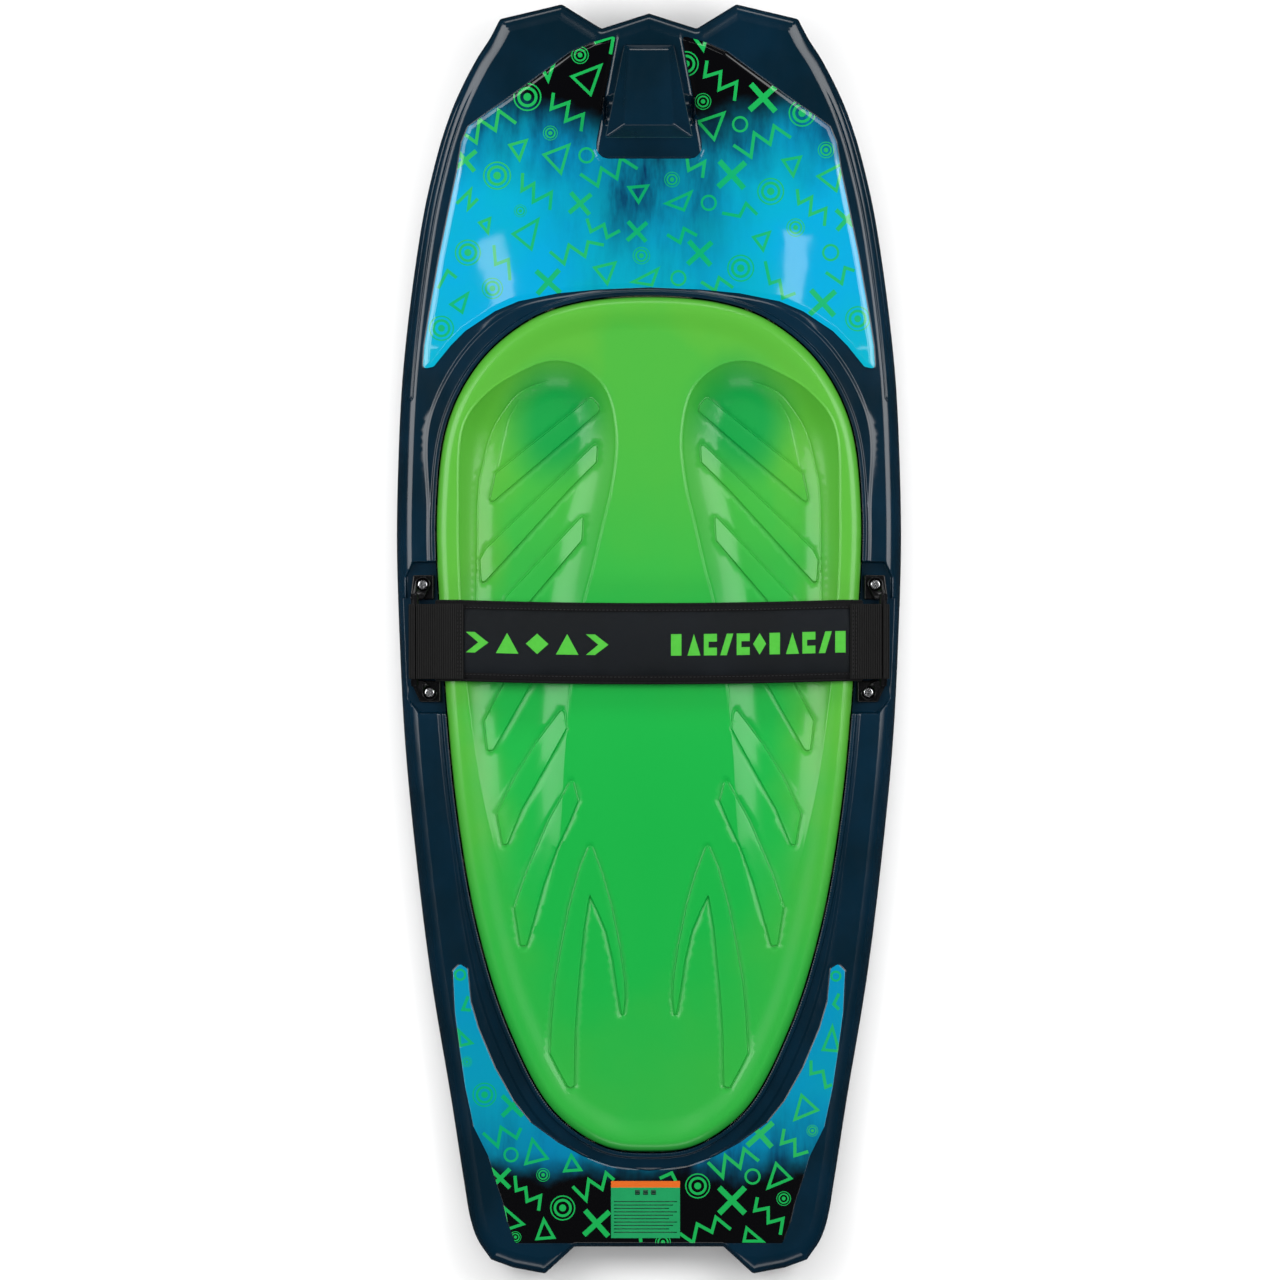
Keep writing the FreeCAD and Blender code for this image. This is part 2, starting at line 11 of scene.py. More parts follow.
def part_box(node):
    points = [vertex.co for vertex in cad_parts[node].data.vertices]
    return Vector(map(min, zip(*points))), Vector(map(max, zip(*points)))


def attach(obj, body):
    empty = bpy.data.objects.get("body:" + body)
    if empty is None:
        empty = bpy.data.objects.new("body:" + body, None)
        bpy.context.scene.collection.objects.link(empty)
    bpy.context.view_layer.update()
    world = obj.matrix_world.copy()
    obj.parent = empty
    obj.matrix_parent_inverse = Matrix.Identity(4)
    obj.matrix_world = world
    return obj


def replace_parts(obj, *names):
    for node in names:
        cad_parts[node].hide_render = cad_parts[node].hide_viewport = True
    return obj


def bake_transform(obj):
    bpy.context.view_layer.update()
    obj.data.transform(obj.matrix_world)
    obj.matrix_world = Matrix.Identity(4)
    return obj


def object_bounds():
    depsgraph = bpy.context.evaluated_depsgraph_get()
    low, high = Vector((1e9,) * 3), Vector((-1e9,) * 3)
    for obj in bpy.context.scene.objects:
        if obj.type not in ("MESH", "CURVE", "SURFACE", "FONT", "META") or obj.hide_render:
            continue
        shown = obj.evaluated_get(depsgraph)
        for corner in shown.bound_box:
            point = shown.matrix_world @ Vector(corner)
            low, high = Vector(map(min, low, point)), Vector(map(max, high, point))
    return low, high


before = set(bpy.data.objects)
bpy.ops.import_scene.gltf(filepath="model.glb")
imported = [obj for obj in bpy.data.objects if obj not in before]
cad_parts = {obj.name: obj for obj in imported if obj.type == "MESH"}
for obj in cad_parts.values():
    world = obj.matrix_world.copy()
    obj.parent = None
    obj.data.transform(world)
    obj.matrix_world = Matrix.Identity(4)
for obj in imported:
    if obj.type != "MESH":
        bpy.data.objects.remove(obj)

# A kneeboard. Lengths here are millimetres in the frame of the CAD model, +Y to the nose and +Z up
# out of the deck; meshes are made in metres.

cad_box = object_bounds()
MM = 0.001


def cad(node):
    """Lowest and highest corner of a CAD node, in millimetres."""
    low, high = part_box(node)
    return np.array(low) / MM, np.array(high) / MM


# ---------------------------------------------------------------- driving dimensions
HALF_LENGTH = cad("hull_shell")[1][1]
NOSE_RISE, TAIL_RISE = 95.0, 28.0          # rocker of the bottom at the two ends
FLAT_FRONT, FLAT_REAR = 50.0, -200.0       # the flat stretch of the bottom
THICKNESS, NOSE_THINNING, TAIL_THINNING = 54.0, 24.0, 22.0
WIDEST = 0.4                               # height of the rail's widest line, share of the thickness
RECESS_DEPTH = 26.0
PAD_GAP = 1.5
PAD_PROUD = 9.5
COAMING = 4.6                              # height of the lip round the pad

# right half of the hull's outline, from the nose to the tail
NOSE_CORNERS = [(0, 625), (47.5, 610), (87, 634), (148.5, 619.5)]
SIDE = [(150.5, 616), (159, 600), (172, 580), (192.5, 540), (206, 504), (218, 460), (226.5, 420),
        (238.5, 340), (247, 260), (251, 180), (252.5, 100), (250.5, 20), (244.5, -100), (233, -220),
        (218, -340), (198, -460), (185.5, -540), (178.5, -580), (171.5, -600), (158, -620)]
TAIL_CORNERS = [(136, -628), (104, -634), (74.5, -607), (0, -607)]

# right half of the pad's outline
PAD = [(0, 343), (70, 337), (118.5, 320), (167, 280), (200, 220), (212, 130), (205, -25),
       (192, -170), (171, -290), (139.5, -390), (96, -470), (45, -506), (0, -512)]

# right half of each film's outline, from the middle line round to the middle line
NOSE_FILM = [(0, 480.5), (41, 480.5), (46, 481.7), (50.4, 485.5), (52.6, 490.5), (52.6, 497),
             (32.5, 603), (58, 595.4), (77, 587), (109, 563.5), (144, 538), (163, 525), (180.4, 512.4),
             (187, 496.5), (191.6, 468), (209, 385),
             (219.4, 326.3), (224.5, 294), (226, 271), (215.3, 273.3), (198, 294.7), (183.7, 309),
             (154, 328.7), (130.4, 338.6), (91, 346.5), (51.3, 350.3), (0, 352.4)]
TAIL_FILM = [(0, -531), (38.5, -526), (66, -516.3), (91.2, -502.6), (118.5, -482.6), (135.5, -461.5),
             (154.3, -428), (171.1, -388), (178.5, -362.6), (181.7, -329), (189, -324), (196, -331),
             (194, -373), (189, -411), (183.8, -446.8), (175.3, -486.8), (160.6, -516.3),
             (156.4, -531), (146, -562.6), (141.7, -581.5), (133.5, -603), (0, -603)]
FILM_LIFT, FILM_THICK = 0.1, 0.5           # above the deck, so that the two never share a face
LABEL_LIFT, LABEL_THICK = 0.35, 0.3

SCREWS = [(226.4, 55.5), (219.5, -52.5)]   # right side
POCKET_FLOOR = 46.0
POCKET = [(190, -72), (229, -72), (241, -58), (242, 63), (235, 77), (190, 77)]
NOTCH = [(205, -42.5), (285, -42.5), (285, 41.5), (205, 41.5)]
SEAT_Y, SEAT_Z, SEAT_R, SEAT_HALF = 527.0, 104.0, 16.0, 47.0

STRAP_REAR, STRAP_FRONT = -40.5, 39.5
STRAP_MIDDLE, STRAP_HALF = (STRAP_REAR + STRAP_FRONT) / 2, (STRAP_FRONT - STRAP_REAR) / 2
STRAP_UNDER, STRAP_TOP = 66.0, 75.0
STRAP_CROWN = 1.4                          # how much higher the strap's top is along its middle line
BEND_X, SLOPE, COVER_END = 200.0, 0.4, 214.0
BAR_X, BAR_Z, BAR_R = 234.0, 55.0, 4.0
WEB, PLY_GAP = 2.0, 0.5
TAB_REAR, TAB_FRONT = -39.0, 36.0
TAB_END = {"left": 185.0, "right": 201.0}
PATCH, PATCH_GAP = 0.8, 0.3                # hook-and-loop: each half's thickness, and the air round them
SIDES = {"left": -1, "right": 1}


# ---------------------------------------------------------------- lines of the board
def rocker(y):
    """Height of the bottom's middle line."""
    front = np.maximum(0, y - FLAT_FRONT) / (HALF_LENGTH - FLAT_FRONT)
    rear = np.maximum(0, FLAT_REAR - y) / (HALF_LENGTH + FLAT_REAR)
    return NOSE_RISE * front ** 2.2 + TAIL_RISE * rear ** 2


def thickness(y):
    along = np.maximum(0, abs(y) - 100) / (HALF_LENGTH - 100)
    return THICKNESS - np.where(y > 0, NOSE_THINNING, TAIL_THINNING) * along ** 1.5


def deck(y):
    return rocker(y) + thickness(y)


def ramp(value, low, high):
    """0 below low, 1 above high, with a smooth rise between."""
    t = np.clip((value - low) / (high - low), 0, 1)
    return t * t * (3 - 2 * t)


# ---------------------------------------------------------------- plan lines
def unit(vectors):
    return vectors / np.maximum(np.linalg.norm(vectors, axis=1), 1e-9)[:, None]


def right_of(ahead):
    """Plan vectors turned a quarter turn to the right."""
    return np.stack([ahead[:, 1], -ahead[:, 0]], 1)


def tangents(line):
    """Directions along a closed line."""
    return unit(np.roll(line, -1, 0) - np.roll(line, 1, 0))


def lengths(line):
    """How far along an open line each of its points is."""
    return np.concatenate([[0], np.cumsum(np.linalg.norm(np.diff(line, axis=0), axis=1))])


def tree_of(points):
    tree = KDTree(len(points))
    for i, (x, y) in enumerate(points.tolist()):
        tree.insert((x, y, 0), i)
    tree.balance()
    return tree


def mirrored(half):
    """A closed line from its right half, which starts and may end on the middle line."""
    return list(half) + [(-x, y) for x, y in reversed(half) if x > 0.01]


def curve_through(points, step, closed=False):
    """Points about a step apart on a smooth curve through the given ones."""
    p = np.array(points, float)
    n = len(p)
    line = []
    for i in range(n if closed else n - 1):
        p1, p2 = p[i], p[(i + 1) % n]
        p0 = p[i - 1] if closed or i > 0 else 2 * p1 - p2
        p3 = p[(i + 2) % n] if closed or i < n - 2 else 2 * p2 - p1
        a, b, c = [math.sqrt(np.linalg.norm(v)) for v in (p1 - p0, p2 - p1, p3 - p2)]
        m1 = b * ((p1 - p0) / a - (p2 - p0) / (a + b) + (p2 - p1) / b)
        m2 = b * ((p2 - p1) / b - (p3 - p1) / (b + c) + (p3 - p2) / c)
        t = np.linspace(0, 1, 60, endpoint=False)[:, None]
        line.append((2 * t**3 - 3 * t**2 + 1) * p1 + (t**3 - 2 * t**2 + t) * m1
                    + (3 * t**2 - 2 * t**3) * p2 + (t**3 - t**2) * m2)
    line.append(p[:1] if closed else p[-1:])
    line = np.vstack(line)
    along = lengths(line)
    at = np.linspace(0, along[-1], max(2, round(along[-1] / step)) + 1)
    even = np.stack([np.interp(at, along, line[:, k]) for k in range(2)], 1)
    return even[:-1] if closed else even


def divided(points, step, closed=True):
    """The same corners, with points at most a step apart between them."""
    p = np.array(points, float)
    ends = np.roll(p, -1, 0) if closed else p[1:]
    line = []
    for a, b in zip(p, ends):
        count = max(1, math.ceil(np.linalg.norm(b - a) / step - 1e-6))
        line.append(a + (b - a) * np.arange(count)[:, None] / count)
    if not closed:
        line.append(p[-1:])
    return np.vstack(line)


def rounded(points, radius, closed=True):
    """The same outline with each corner turned by an arc."""
    p = [np.array(q, float) for q in points]
    line = []
    for i, corner in enumerate(p):
        if not closed and i in (0, len(p) - 1):
            line.append(corner)
            continue
        before, after = p[i - 1] - corner, p[(i + 1) % len(p)] - corner
        la, lb = np.linalg.norm(before), np.linalg.norm(after)
        before, after = before / la, after / lb
        half = math.acos(np.clip(before @ after, -1, 1)) / 2
        if half > math.radians(86):
            line.append(corner)
            continue
        cut = min(radius / math.tan(half), 0.45 * la, 0.45 * lb)
        a, b = corner + before * cut, corner + after * cut
        for t in np.linspace(0, 1, 7):
            line.append((1 - t)**2 * a + 2 * t * (1 - t) * corner + t**2 * b)
    return np.array(line)


class Outline:
    """A closed line in plan that gives fast signed distances."""

    def __init__(self, points, step=1.5):
        self.points = np.array(points, float)
        self.dense = divided(self.points, step)
        area = np.cross(self.dense, np.roll(self.dense, -1, 0)).sum()
        self.turn = -1 if area > 0 else 1
        self.side = self.turn * right_of(unit(np.roll(self.dense, -1, 0) - self.dense))
        self.corner = unit(self.side + np.roll(self.side, 1, 0))
        self.tree = tree_of(self.dense)

    def depth(self, p):
        """How far inside the line each point is; negative outside."""
        find = self.tree.find
        near = np.fromiter((find((x, y, 0))[1] for x, y in p.tolist()), int, len(p))
        count = len(self.dense)
        best = np.full(len(p), np.inf)
        sign = np.ones(len(p))
        for start in (near - 1, near):
            a = self.dense[start % count]
            ab = self.dense[(start + 1) % count] - a
            t = ((p - a) * ab).sum(1) / np.maximum((ab * ab).sum(1), 1e-12)
            t = np.clip(t, 0, 1)
            away = p - a - t[:, None] * ab
            far = np.hypot(*away.T)
            normal = np.where((t == 0)[:, None], self.corner[start % count],
                              np.where((t == 1)[:, None], self.corner[(start + 1) % count],
                                       self.side[start % count]))
            closer = far < best
            best = np.where(closer, far, best)
            sign = np.where(closer, np.where((away * normal).sum(1) < 0, -1, 1), sign)
        return best * sign

    def ring(self, depth, step=3.0):
        """Points at a depth inside the line, without those that another stretch is nearer to."""
        line = divided(self.points, step)
        moved = line + depth * self.turn * right_of(tangents(line))
        return moved[abs(self.depth(moved) - depth) < 0.03 * abs(depth) + 0.02]


def hull_outline():
    """The hull in plan: horned nose, curved sides and notched tail."""
    nose = rounded(NOSE_CORNERS, 4, closed=False)[:-1]
    corner = NOSE_CORNERS[-1]
    start = [(143, 620.9), corner, SIDE[0]]
    side = curve_through(SIDE, 3.0)
    half = np.vstack([nose, rounded(start, 4, closed=False)[1:], side[1:],
                      rounded([SIDE[-1]] + TAIL_CORNERS, 5, closed=False)[1:]])
    return divided(mirrored([tuple(q) for q in half]), 3.0)


HULL = Outline(hull_outline())
PAD_EDGE = Outline(curve_through(mirrored(PAD), 2.5, closed=True))
NOSE_PANEL = Outline(divided(rounded(mirrored(NOSE_FILM), 4), 2.5))
TAIL_PANEL = Outline(divided(rounded(mirrored(TAIL_FILM), 3), 2.5))
APRON = Outline(divided(rounded([(-25, 642), (25, 642), (54.5, 480.5), (-54.5, 480.5)], 11), 2))
POCKETS = [Outline(divided([(side * x, y) for x, y in POCKET], 2.0)) for side in (1, -1)]
NOTCHES = [Outline(divided([(side * x, y) for x, y in NOTCH], 2.0)) for side in (1, -1)]

# ---------------------------------------------------------------- surface of the hull
RAIL_IN = 15.0          # the rail's round ends this far inboard of the widest line
RAIL_POLE = 4.5         # depth of the round's inner pole
RAIL_RISE = 14.0        # first pole above the widest line
along_rail = np.linspace(0, 1, 400)
rail_depth = 3 * (1 - along_rail) * along_rail**2 * RAIL_POLE + along_rail**3 * RAIL_IN
rail_share = (1 - along_rail)**3 + 3 * (1 - along_rail)**2 * along_rail
rail_extra = (-3 * RAIL_RISE * (1 - along_rail)**2 * along_rail
              + 6 * (1 - along_rail) * along_rail**2)


def rail_drop(depth, thick):
    """How far the deck falls towards the rail's widest line."""
    share = np.interp(depth, rail_depth, rail_share)
    extra = np.interp(depth, rail_depth, rail_extra)
    return np.maximum(0, (1 - WIDEST) * thick * share + extra)


def bead(depth, y):
    """The pressed bead that runs along each rail by the nose."""
    end, middle = 243.0, 8.0
    across = np.hypot(depth - middle, np.minimum(0, y - end))
    ridge = 0.7 * (1 - ramp(across, 1.8, 3.0))
    groove = 1.1 * np.exp(-((across - 3.4) / 0.75) ** 2)
    return (ridge - groove) * (1 - ramp(y, 505, 560)) * (across < middle)


BAND_HEIGHT, BAND_SLOPE = 1.8, 4.0


def band_width(x, y):
    """Width of the raised band outside the pad: narrow at the nose, wide at the shoulders and tail."""
    return 6.5 + 11 * ramp(abs(x), 70, 160) * ramp(y, 120, 230) + 8.5 * ramp(-y, 180, 420)


def band_rings(shares):
    """Points along the slope at the band's outer edge."""
    line = PAD_EDGE.ring(0.0, 2.5)
    outward = -PAD_EDGE.turn * right_of(tangents(line))
    wide = band_width(line[:, 0], line[:, 1])
    return np.vstack([line + outward * (wide + share * BAND_SLOPE)[:, None] for share in shares])


def coaming(out, x, y):
    """The lip round the pad and the wider raised band that it stands on."""
    lip = COAMING - BAND_HEIGHT
    height = lip * (1 - ramp(out, 4.6, 7.2)) - 1.2 * (1 - ramp(out, PAD_GAP, PAD_GAP + 1.6))
    wide = band_width(x, y)
    return height + BAND_HEIGHT * (1 - ramp(out, wide, wide + BAND_SLOPE))


PANEL_STEP = (-1.6, 0.2)      # where the deck steps up to a film, from the film's edge inward


def hull_top(p):
    """Height of the deck with everything that is moulded into it."""
    x, y = p[:, 0], p[:, 1]
    inside = HULL.depth(p)
    sharper = 1 + 2.2 * ramp(-y, 585, 598) * (1 - ramp(abs(x), 82, 108))
    z = deck(y) - rail_drop(inside * sharper, thickness(y)) + bead(inside, y)
    z = z + coaming(-PAD_EDGE.depth(p), x, y)
    z = z - 2.8 * (np.maximum(0, abs(x) - 70) / 150) ** 2 * ramp(y, 200, 300) * (1 - ramp(y, 440, 600))
    panel = NOSE_PANEL.depth(p)
    z = z + 0.3 * ramp(panel, *PANEL_STEP) + 0.55 * ramp(panel, -0.4, 5.6)
    z = z + 0.5 * ramp(TAIL_PANEL.depth(p), *PANEL_STEP)
    z = z + 0.8 * ramp(APRON.depth(p), -0.2, 2.4) * ramp(inside, 5, 18)
    under = SEAT_R**2 - (y - SEAT_Y)**2
    seat = SEAT_Z - np.sqrt(np.maximum(under, 0))
    end = ramp(SEAT_HALF - abs(x), 0, 6.0)
    z = np.where((under > 0) & (seat < z), z + (seat - z) * end, z)
    for pocket, notch in zip(POCKETS, NOTCHES):
        cut = np.maximum(pocket.depth(p), notch.depth(p))
        z = np.where(z > POCKET_FLOOR, z + (POCKET_FLOOR - z) * ramp(cut, -2.2, 0.4), z)
    return z


def shell_top(p):
    """The hull's own top surface: it is sunk a little where a film lies in it."""
    sunk = np.maximum(NOSE_PANEL.depth(p), TAIL_PANEL.depth(p))
    return hull_top(p) - 1.1 * ramp(sunk, 0.25, 1.3)


def recess_floor(p):
    return deck(p[:, 1]) - RECESS_DEPTH


def hull_bottom(p):
    """Height of the underside, which rises to the rail's widest line."""
    depth = HULL.depth(p)
    round_in = 26.0
    rise = WIDEST * thickness(p[:, 1])
    left = np.clip(1 - depth / round_in, 0, 1)
    curve = 1 - np.sqrt(np.clip(1 - left**2.4, 0, 1))
    return rocker(p[:, 1]) + rise * curve


def normals_of(height, p, up=1):
    """Unit normals of a height field, by small steps to both sides."""
    h = 0.06
    dx = height(p + (h, 0)) - height(p - (h, 0))
    dy = height(p + (0, h)) - height(p - (0, h))
    n = np.stack([-dx, -dy, np.full(len(p), 2 * h)], 1) * up
    return n / np.linalg.norm(n, axis=1)[:, None]


# ---------------------------------------------------------------- meshes
def fill_grid(outline, step, features, low=0.6):
    """An even grid of points inside an outline, clear of the points of its features."""
    lo, hi = outline.dense.min(0), outline.dense.max(0)
    xs = np.arange(lo[0] + step / 2, hi[0], step)
    ys = np.arange(lo[1] + step / 2, hi[1], step * 0.87)
    grid = np.array([(x + (step / 2 if k % 2 else 0), y) for k, y in enumerate(ys) for x in xs])
    grid = grid[outline.depth(grid) > low * step]
    find = tree_of(features).find
    near = np.array([find((x, y, 0))[2] for x, y in grid.tolist()])
    return grid[near > low * step]


def flooded(sides, order, fixed):
    """For each triangle, the first in the order that is reached without crossing a fixed edge.

    The second result says which triangles can be reached from outside in the same way.
    """
    beside = {}
    for face, pairs in enumerate(sides):
        for pair in pairs:
            if pair not in fixed:
                beside.setdefault(pair, []).append(face)
    seat = np.full(len(sides), -1)
    for start in order.tolist():
        todo = [start]
        while todo:
            face = todo.pop()
            if seat[face] < 0:
                seat[face] = start
                todo += [other for pair in sides[face] for other in beside.get(pair, ())
                         if seat[other] < 0]
    free = {seat[faces[0]] for faces in beside.values() if len(faces) == 1}
    return seat, np.isin(seat, list(free))


def triangulate(points, loops):
    """Triangles inside the first loop, over all the points, with every loop's edges kept.

    The third result is a point for each triangle, in the middle of the largest one on its side of the
    loops. A sliver beside a loop is then judged by its region, not by its own middle.
    """
    at = {}
    unique = []
    for x, y in points.tolist():
        key = (round(x, 3), round(y, 3))
        if key not in at:
            at[key] = len(unique)
            unique.append(key)
    edges, outer = set(), None
    for loop in loops:
        ids = [at.setdefault((round(x, 3), round(y, 3)), len(at)) for x, y in loop.tolist()]
        if len(at) > len(unique):
            unique += [k for k in at if at[k] >= len(unique)]
        edges |= {(a, b) for a, b in zip(ids, ids[1:] + ids[:1]) if a != b}
        outer = outer or set(edges)
    edges = sorted(edges)
    points = [Vector(q) for q in unique]
    verts, lines, faces, _, sources, _ = delaunay_2d_cdt(points, edges, [], 0, 1e-5, True)
    flat, faces = np.round(np.array([v[:] for v in verts], float), 3), np.array(faces, int)
    fixed = {tuple(sorted(line)): source for line, source in zip(lines, sources) if source}
    border = {pair for pair, source in fixed.items() if any(edges[k] in outer for k in source)}
    a, b, c = (flat[faces[:, k]] for k in range(3))
    order = np.argsort(-abs(np.cross(b - a, c - a)), kind="stable")
    sides = [[tuple(sorted(pair)) for pair in ((a, b), (b, c), (c, a))]
             for a, b, c in faces.tolist()]
    outside = flooded(sides, order, border)[1]
    seat = flooded(sides, order, fixed)[0]
    return flat, faces[~outside], flat[faces[seat]].mean(1)[~outside]


def mesh_object(name, verts, faces, materials, normals=None, slots=None):
    """A mesh object from millimetre points; faces may be an array of triangles or a list."""
    mesh = bpy.data.meshes.new(name)
    faces = faces.tolist() if isinstance(faces, np.ndarray) else faces
    mesh.from_pydata((np.array(verts, float) * MM).tolist(), [], faces)
    for material in materials:
        mesh.materials.append(material)
    if slots is not None:
        mesh.polygons.foreach_set("material_index", np.array(slots, np.int32))
    mesh.polygons.foreach_set("use_smooth", np.ones(len(mesh.polygons), bool))
    mesh.update()
    if normals is not None:
        mesh.normals_split_custom_set_from_vertices(np.array(normals, float).tolist())
    piece = bpy.data.objects.new(name, mesh)
    bpy.context.scene.collection.objects.link(piece)
    return piece


def open_edges(faces):
    """The directed edges round the outside of a sheet of triangles."""
    edges = {edge: None for a, b, c in faces.tolist() for edge in ((a, b), (b, c), (c, a))}
    return [(a, b) for a, b in edges if (b, a) not in edges]


def counter_clockwise(verts, faces):
    """The triangles, each turned to face up."""
    a, b, c = (verts[faces[:, k], :2] for k in range(3))
    back = np.cross(b - a, c - a) < 0
    faces = faces.copy()
    faces[back] = faces[back][:, ::-1]
    return faces


def weld(parts):
    """One vertex and face list from several, with equal points joined."""
    verts, faces, normals, start = [], [], [], 0
    for v, f, n in parts:
        verts.append(v)
        normals.append(n)
        faces.append(np.array(f, int) + start)
        start += len(v)
    verts, normals, faces = np.vstack(verts), np.vstack(normals), np.vstack(faces)
    _, first, where = np.unique(np.round(verts, 2), axis=0, return_index=True, return_inverse=True)
    faces = where.reshape(-1)[faces]
    good = (faces[:, 0] != faces[:, 1]) & (faces[:, 1] != faces[:, 2]) & (faces[:, 0] != faces[:, 2])
    return verts[first], faces[good], normals[first]


def wall(ring, z_high, z_low, levels, inward):
    """A vertical wall of triangles under a clockwise ring of plan points.

    It faces the ring's inside if inward is 1, and away from it if inward is -1.
    """
    n = len(ring)
    verts, normals = [], []
    flat = inward * right_of(tangents(ring))
    for k in range(levels + 1):
        z = z_high + (z_low - z_high) * k / levels
        verts.append(np.column_stack([ring, z]))
        normals.append(np.column_stack([flat, np.zeros(n)]))
    faces = []
    for k in range(levels):
        for i in range(n):
            a, b = k * n + i, k * n + (i + 1) % n
            faces += [(a, b, b + n), (a, b + n, a + n)]
    faces = np.array(faces)
    if inward > 0:
        faces = faces[:, ::-1]
    return np.vstack(verts), faces, np.vstack(normals)


def prism_mesh(outline, low, high):
    """Corner lists of an upright prism, as one closed block of quads and two end faces."""
    n = len(outline)
    verts = [(x, y, low) for x, y in outline] + [(x, y, high) for x, y in outline]
    faces = [tuple(reversed(range(n))), tuple(range(n, 2 * n))]
    faces += [(i, (i + 1) % n, (i + 1) % n + n, i + n) for i in range(n)]
    return verts, faces


def swept(rings, n):
    """Faces of a closed tube through some rings of n points each, with its two ends."""
    faces = []
    for k in range(rings - 1):
        for i in range(n):
            a, b = k * n + i, k * n + (i + 1) % n
            faces.append((a, b, b + n, a + n))
    last = (rings - 1) * n
    return faces + [tuple(range(n)), tuple(last + i for i in reversed(range(n)))]


def joined(blocks):
    """The corner and face lists of several blocks as one."""
    verts, faces = [], []
    for v, f in blocks:
        faces += [tuple(i + len(verts) for i in face) for face in f]
        verts += list(v)
    return verts, faces


def applied(piece):
    """The piece with its modifiers made part of its mesh."""
    bpy.context.view_layer.update()
    graph = bpy.context.evaluated_depsgraph_get()
    made = bpy.data.meshes.new_from_object(piece.evaluated_get(graph))
    piece.modifiers.clear()
    piece.data = made
    return piece


def beveled(piece, width, segments=3, angle=25):
    """Rounds a piece's edges and keeps its flat faces flat."""
    bevel = piece.modifiers.new("bevel", "BEVEL")
    bevel.width = width * MM
    bevel.segments = segments
    bevel.limit_method = "ANGLE"
    bevel.angle_limit = math.radians(angle)
    bevel.harden_normals = True
    return applied(piece)


def face_outward(piece):
    """Turns every face of a closed piece to the outside."""
    bm = bmesh.new()
    bm.from_mesh(piece.data)
    bmesh.ops.recalc_face_normals(bm, faces=bm.faces)
    bm.to_mesh(piece.data)
    bm.free()
    return piece


# ---------------------------------------------------------------- materials
class Nodes:
    """A short way to build a node material."""

    def __init__(self, name):
        self.material = bpy.data.materials.new(name)
        self.material.use_nodes = True
        self.tree = self.material.node_tree
        self.shader = self.tree.nodes["Principled BSDF"]

    def node(self, kind, **sockets):
        made = self.tree.nodes.new("ShaderNode" + kind)
        for key, value in sockets.items():
            self.put(made.inputs[key], value)
        return made

    def put(self, socket, value):
        if isinstance(value, bpy.types.NodeSocket):
            self.tree.links.new(value, socket)
        elif isinstance(value, (tuple, list)) and len(value) == 3 and socket.type == "RGBA":
            socket.default_value = (*value, 1)
        else:
            socket.default_value = value

    def set(self, **sockets):
        for key, value in sockets.items():
            self.put(self.shader.inputs[key.replace("_", " ")], value)
        return self

    def place(self, scale=(1, 1, 1)):
        """Object coordinates in metres, times a scale."""
        where = self.node("TexCoord").outputs["Object"]
        return self.node("Mapping", Vector=where, Scale=scale).outputs["Vector"]

    def noise(self, scale, detail=3.0, rough=0.5, stretch=(1, 1, 1)):
        return self.node("TexNoise", Vector=self.place(stretch), Scale=scale, Detail=detail,
                         Roughness=rough).outputs["Fac"]

    def maths(self, operation, a, b=0.0, c=0.0):
        """One of Blender's maths operations on numbers or sockets."""
        made = self.tree.nodes.new("ShaderNodeMath")
        made.operation = operation
        for socket, value in zip(made.inputs, (a, b, c)):
            self.put(socket, value)
        return made.outputs[0]

    def spread(self, value, low, high, to_low=0.0, to_high=1.0):
        """A smooth step: to_low up to low, to_high from high on."""
        made = self.tree.nodes.new("ShaderNodeMapRange")
        made.interpolation_type = "SMOOTHSTEP"
        for socket, number in zip(made.inputs, (value, low, high, to_low, to_high)):
            self.put(socket, number)
        return made.outputs[0]

    def mix(self, share, a, b):
        made = self.tree.nodes.new("ShaderNodeMix")
        made.data_type = "RGBA"
        self.put(made.inputs["Factor"], share)
        colours = [s for s in made.inputs if s.type == "RGBA"]
        self.put(colours[0], a)
        self.put(colours[1], b)
        return [s for s in made.outputs if s.type == "RGBA"][0]

    def axes(self):
        """The X and Y of the object coordinates, in metres."""
        where = self.node("TexCoord").outputs["Object"]
        return self.node("SeparateXYZ", Vector=where).outputs[:2]

    def bump(self, height, distance, strength=1.0):
        made = self.node("Bump", Height=height, Distance=distance, Strength=strength)
        self.put(self.shader.inputs["Normal"], made.outputs["Normal"])
        return self


def srgb(r, g, b):
    """A colour given as 0 to 255 on a screen, as the linear colour that a shader takes."""
    return tuple((c / 255 / 12.92) if c <= 10 else ((c / 255 + 0.055) / 1.055) ** 2.4
                 for c in (r, g, b))


def shell_plastic():
    m = Nodes("shell_plastic")
    cloud = m.noise(9.0, 4)
    colour = m.mix(m.spread(cloud, 0.35, 0.65), srgb(2, 28, 41), srgb(4, 36, 54))
    grain = m.noise(900.0, 2)
    scuff = m.noise(60.0, 5, 0.7, (1, 0.25, 1))
    m.set(Base_Color=colour, Specular_IOR_Level=0.4)
    m.set(Roughness=m.spread(scuff, 0.3, 0.75, 0.19, 0.23))
    return m.bump(grain, 0.00003, 0.5).material


